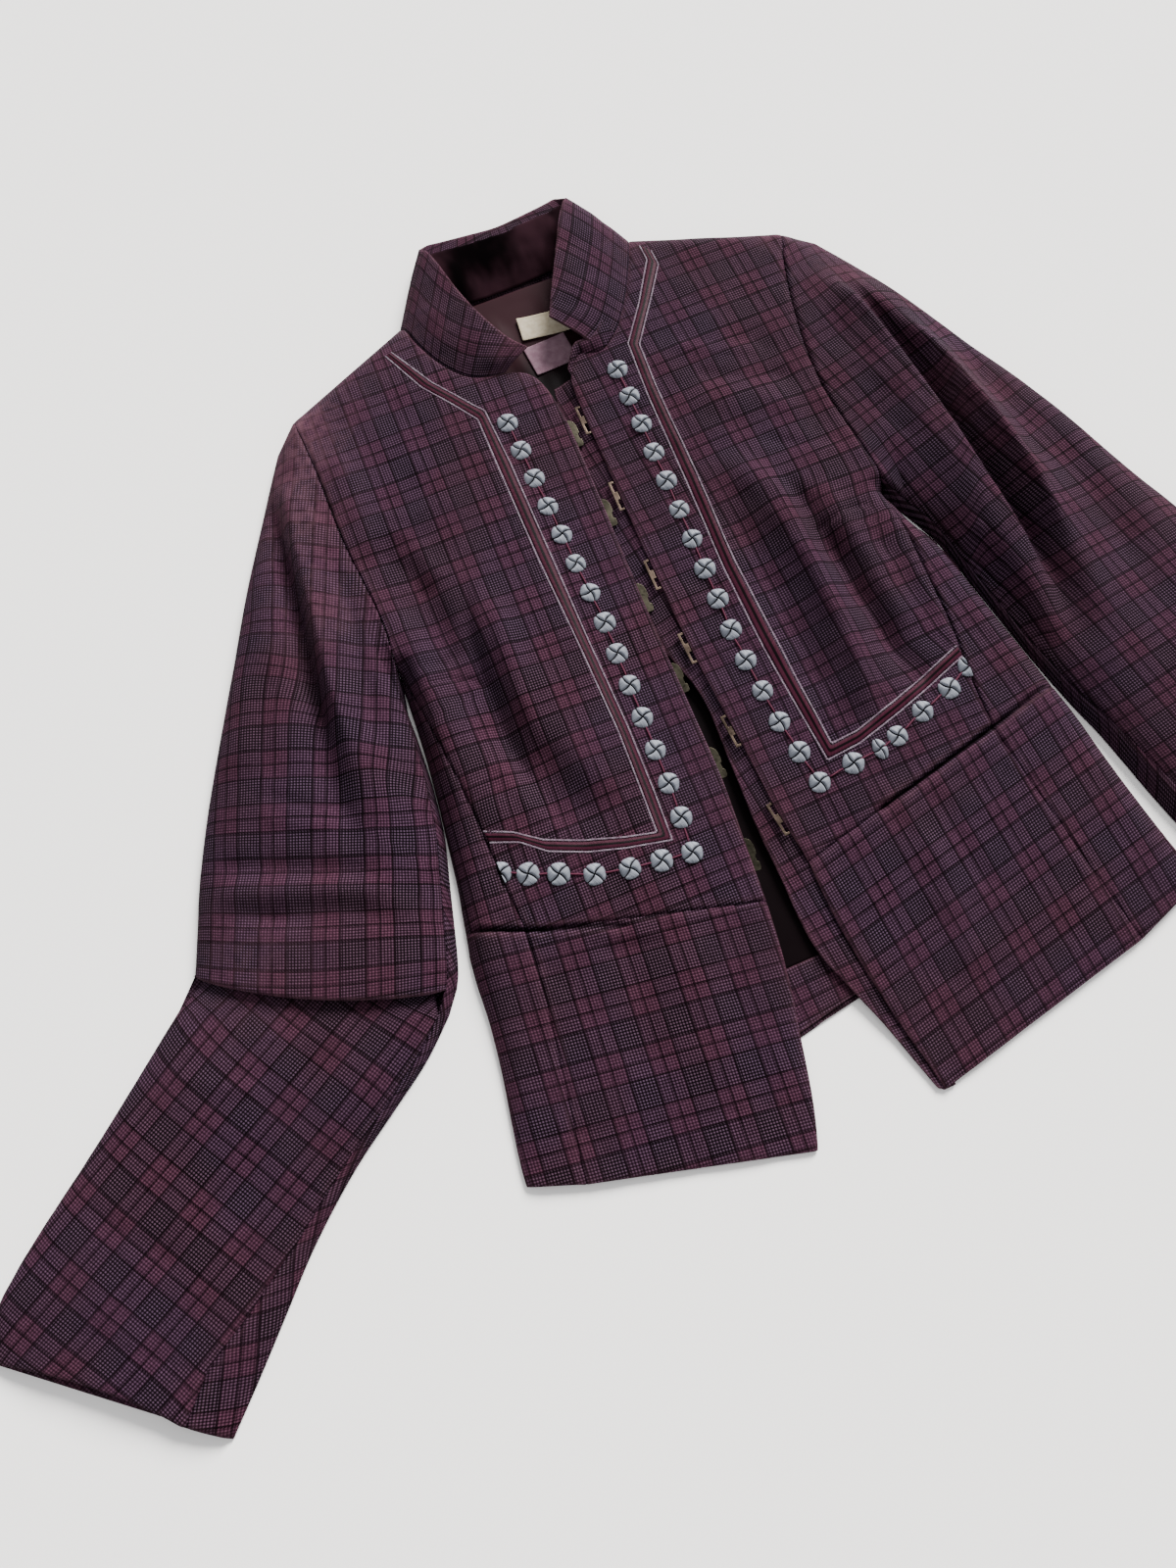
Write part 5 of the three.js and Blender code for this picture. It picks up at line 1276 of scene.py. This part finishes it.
def cutAtSeam(piece, side, y, sign):
    # the seam runs through this disc, and what lies beyond it is gone
    seamRows = np.array(side["bodice"][12:], float)[::-1]
    place = metres([(np.interp(y, seamRows[:, 3], seamRows[:, 2]) + 0.4 * sign, y, 0)])[0]
    shape = bmesh.new()
    shape.from_mesh(piece.data)
    everything = shape.verts[:] + shape.edges[:] + shape.faces[:]
    bmesh.ops.bisect_plane(shape, geom=everything, plane_co=place, plane_no=(-sign, 0, 0), clear_outer=True)
    bmesh.ops.holes_fill(shape, edges=[edge for edge in shape.edges if edge.is_boundary], sides=0)
    shape.to_mesh(piece.data)
    shape.free()


print("embroidered discs")
spins = np.random.default_rng(7)
for suffix, rows in discRows.items():
    side = rows["side"]
    halfX, halfY, sign = rows["half"]
    narrow = rows.get("narrow", (0, 0, 1))
    centres = [tuple(p) for p in pointsAlong(rows["front"], 15)] + rows["waist"]
    whole = [place for place in centres if place != narrow[:2]]
    spots = [spotOn(side, x, y, disc["lift"], 0.35, spins.uniform(-disc["spin"], disc["spin"])) for x, y in whole]
    discs = setOnPoints(f"discs_silk_{suffix}", discTemplate(), spots, discSilk, 1.0, 0.04, 3)
    dress(discs, [f"discs_{suffix}"])
    half = setOnPoints(f"disc_half_{suffix}", discTemplate(), [spotOn(side, halfX, halfY, disc["lift"], 0.3, 0)],
        discSilk, 1.0, 0.0, 3)
    cutAtSeam(half, side, halfY, sign)
    dress(half, [])
    if "narrow" in rows:
        squeezed = setOnPoints(f"disc_narrow_{suffix}", discTemplate(narrow[2]),
            [spotOn(side, *narrow[:2], disc["lift"], 0.1, 0)], discSilk, 1.0, 0.0, 3)
        dress(squeezed, [])
    centres.append((halfX + 1.5 * sign, halfY))
    spots = spotsBetween(side, centres, 0.2, 0.06)
    gap = np.mean([math.dist(a, b) for a, b in zip(centres, centres[1:])]) - 2 * disc["radius"] + 2.6
    path = [(s * gap / 2, 0.12 * math.sin(3 * s), 0.28 * (1 - s ** 4)) for s in np.linspace(-1, 1, 9)]
    points, faces, uv = tube(path, 0.62, 6, [0.5, 0.9, 1, 1, 1, 1, 1, 0.9, 0.5])
    links = setOnPoints(f"disc_links_{suffix}",
        smallShape("link_template", points, faces, uv, {"arm": [2.0] * len(points)}), spots, linkSilk, 1.0, 0.05, 4)
    dress(links, [])


# Two chain-stitched lines with satin bands between them
chainLines = {
    "right": {"side": right,
              "outer": [(-109, 79), (-92, 45), (-73, 19), (-66, 10), (-65, -34), (-66, -106), (-67, -174),
              (-67, -240), (-69, -289), (-71, -319),
                        (-99, -313), (-122, -306), (-145, -296), (-159, -284), (-176, -277)],
              "inner": [(-114, 78), (-100, 44), (-81, 17), (-73, 5), (-74, -38), (-75, -110), (-74, -175),
              (-74, -241), (-76, -279), (-78, -311),
                        (-98, -306), (-122, -298), (-145, -288), (-160, -277), (-177, -269)]},
    "left": {"side": left,
             "outer": [(88, 94), (88, 81), (67, 48), (47, 21), (43, -21), (40, -94), (36, -165), (36, -225),
             (38, -263), (41, -310),
                       (65, -308), (98, -299), (123, -291), (152, -281)],
             "inner": [(94, 87), (94, 74), (77, 49), (54, 17), (51, -20), (49, -90), (45, -161), (46, -215),
             (47, -260), (48, -301),
                       (66, -300), (98, -291), (123, -283), (152, -273)]}}
chain = {"step": 1.7, "length": 2.4, "width": 0.30, "thread": 0.17, "lift": 0.16}


def chainTemplate():
    path = [(chain["length"] * (0.5 - 0.5 * math.cos(a)) - chain["length"] / 2, chain["width"] * math.sin(a),
        0.16 * math.cos(a))
            for a in np.linspace(-2.75, 2.75, 11)]
    points, faces, uv = tube(path, chain["thread"], 5)
    return smallShape("chain_template", points, faces, uv)


def pointsLength(line):
    return sum(math.dist(a, b) for a, b in zip(line, line[1:]))


print("chain lines")
for suffix, lines in chainLines.items():
    side = lines["side"]
    spots = []
    for key in ("outer", "inner"):
        stitches = pointsAlong(lines[key], max(int(pointsLength(lines[key]) / chain["step"]), 2))
        spots += spotsBetween(side, stitches, chain["lift"], 0.12)
    dress(setOnPoints(f"chain_{suffix}", chainTemplate(), spots, chainSilk, 1.0, 0.06, 5), [])
    count = 300
    outerLine, innerLine = pointsAlong(lines["outer"], count), pointsAlong(lines["inner"], count)
    share = np.linspace(0.13, 0.87, 19)
    plan = outerLine[:, None] * (1 - share)[None, :, None] + innerLine[:, None] * share[None, :, None]
    bulge = 0.12 + 0.45 * np.abs(np.sin(2 * math.pi * (share - 0.13) / 1.48)) ** 0.6
    z = side["heightAt"](plan[..., 0], plan[..., 1]) + bulge[None, :]
    band = np.concatenate([plan, z[..., None]], axis=2)
    along = np.linspace(0, pointsLength(lines["outer"]), count)
    uv = np.stack([np.broadcast_to(along[:, None], z.shape), np.broadcast_to(share[None, :] * 8, z.shape)], axis=-1)
    bandPiece = shell(f"satin_band_{suffix}", band, band - (0, 0, 0.35), uv, np.zeros(z.shape), bandSilk)
    arms = np.minimum(np.abs(share - 0.5) * 4.6, (0.37 - np.abs(share - 0.5)) * 5 + 0.25) + np.zeros(z.shape)
    values = np.concatenate([arms.ravel(), arms.ravel(),
        np.full(len(bandPiece.data.vertices) - 2 * arms.size, 2.0)])
    bandPiece.data.attributes.new("arm", "FLOAT", "POINT").data.foreach_set("value", values)
    dress(bandPiece, [])


# Hooks and eyes
hookPlaces = [(-16.5, -28), (-18.5, -93), (-21.5, -160), (-23.5, -221), (-25, -283), (-29.5, -345.5)]
eyePlaces = [(-3, -22), (-5.2, -85), (-6.4, -148), (-6.8, -205), (-4.6, -268), (-2.4, -332)]
hookPlate = [
    (-3.5, 0.5), (3.2, 0.5), (4.2, 0.9), (4.7, 2.0), (4.8, 5.2), (4.4, 6.0), (3.6, 6.4), (3.4, 9), (3.7, 10.4),
    (4.6, 11), (4.9, 13),
    (4.8, 17), (4.2, 19.4), (3.4, 20.8), (1.2, 22.6), (-3.5, 23)]
eyePlate = [
    (0, 0), (-3.6, 0), (-3.6, 23), (0, 23), (0, 21.4), (-1.7, 21.4), (-2, 21.1), (-2, 15), (-1.7, 14.6), (0, 14.6),
    (0, 8.4), (-1.7, 8.4),
    (-2, 8), (-2, 1.9), (-1.7, 1.6), (0, 1.6)]


def plateTemplate(name, outline, thickness):
    shape = bmesh.new()
    ring = [shape.verts.new((x / 1000, (y - 11.5) / 1000, 0)) for x, y in outline]
    face = shape.faces.new(ring)
    lifted = bmesh.ops.extrude_face_region(shape, geom=[face])
    bmesh.ops.translate(shape, vec=(0, 0, thickness / 1000),
        verts=[v for v in lifted["geom"] if isinstance(v, bmesh.types.BMVert)])
    bmesh.ops.recalc_face_normals(shape, faces=shape.faces)
    edges = [e for e in shape.edges if len(e.link_faces) == 2 and e.calc_face_angle(0) > 0.9]
    bmesh.ops.bevel(shape, geom=edges, offset=0.0002, segments=2, profile=0.6, affect="EDGES", clamp_overlap=True)
    mesh = bpy.data.meshes.new(name)
    shape.to_mesh(mesh)
    shape.free()
    return addObject(name, mesh)


def edgeSpots(line, places, offset, heights):
    spots = []
    for (px, py), top in zip(places, heights):
        index = next(i for i in range(1, len(line)) if line[i][1] <= py)
        (ax, ay), (bx, by) = line[index - 1], line[index]
        turn = math.atan2(ay - by, ax - bx) - math.pi / 2
        x = ax + (bx - ax) * (ay - py) / (ay - by)
        spots.append(((x + offset, py, top), Matrix.Rotation(turn, 3, "Z")))
    return spots


print("hooks and eyes")
rightFrontEdge = [r[:2] for r in rightBodice[8:]] + [r[:2] for r in rightSkirt[1:]]
for kind, outline, thickness, line, places, offset, metal in (
        ("hook", hookPlate, 1.0, rightFrontEdge, hookPlaces, 0, hookSteel),
        ("eye", eyePlate, 0.9, leftFrontEdge, eyePlaces, -0.8, eyeBrass)):
    nodes = [f"{kind}_{i + 1}" for i in range(6)]
    heights = [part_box(node)[0][2] * 1000 for node in nodes]
    shape = plateTemplate(f"{kind}_template", outline, thickness)
    plates = setOnPoints(f"{kind}_plates", shape, edgeSpots(line, places, offset, heights), metal)
    plates.data.shade_flat()
    dress(plates, nodes)


# Table, light and camera
print("stage")
studio = {"table": (0.96, 0.942, 0.922), "sky": (0.97, 0.975, 1.0), "skyPower": 0.85, "window": 12.0,
    "softness": 0.45, "glow": (1.0, 0.985, 0.965), "from": (1.35, 1.45, 1.15)}
floorMesh = bpy.data.meshes.new("table")
floorMesh.from_pydata([(-6, -6, 0), (6, -6, 0), (6, 6, 0), (-6, 6, 0)], [], [(0, 1, 2, 3)])
floor = addObject("table", floorMesh)
tableFinish = Finish("table_finish", 0.75, Specular_IOR_Level=0.2)
grain = tableFinish.noise(tableFinish.place(), 3, 3)
floorMesh.materials.append(tableFinish.finish(Base_Color=tableFinish.blend(grain, studio["table"],
    tuple(c * 1.02 for c in studio["table"]))))

world = bpy.data.worlds.new("studio")
world.use_nodes = True
world.node_tree.nodes["Background"].inputs[0].default_value = (*studio["sky"], 1)
world.node_tree.nodes["Background"].inputs[1].default_value = studio["skyPower"]
bpy.context.scene.world = world

window = bpy.data.lights.new("window", "SUN")
window.energy, window.angle, window.color = studio["window"], studio["softness"], studio["glow"]
windowLight = bpy.data.objects.new("window", window)
windowLight.location = studio["from"]
windowLight.rotation_euler = Vector(studio["from"]).to_track_quat("Z", "Y").to_euler()
bpy.context.scene.collection.objects.link(windowLight)

camera = bpy.data.cameras.new("camera")
camera.sensor_fit, camera.sensor_width, camera.lens = "AUTO", 36, 27.02
viewer = bpy.data.objects.new("camera", camera)
placeOf = Vector(((-187.4 + layout["shiftX"]) / 1000, (-459.0 + layout["shiftY"]) / 1000, 0.725))
ahead, up, across = Vector((0.1110, 0.2614, -0.9588)), Vector((0.3746, 0.8826, 0.2840)), Vector((0.9205, -0.3907,
    0))
viewer.matrix_world = Matrix.Translation(placeOf) @ Matrix((across, up, -ahead)).transposed().to_4x4()
bpy.context.scene.collection.objects.link(viewer)
bpy.context.scene.camera = viewer
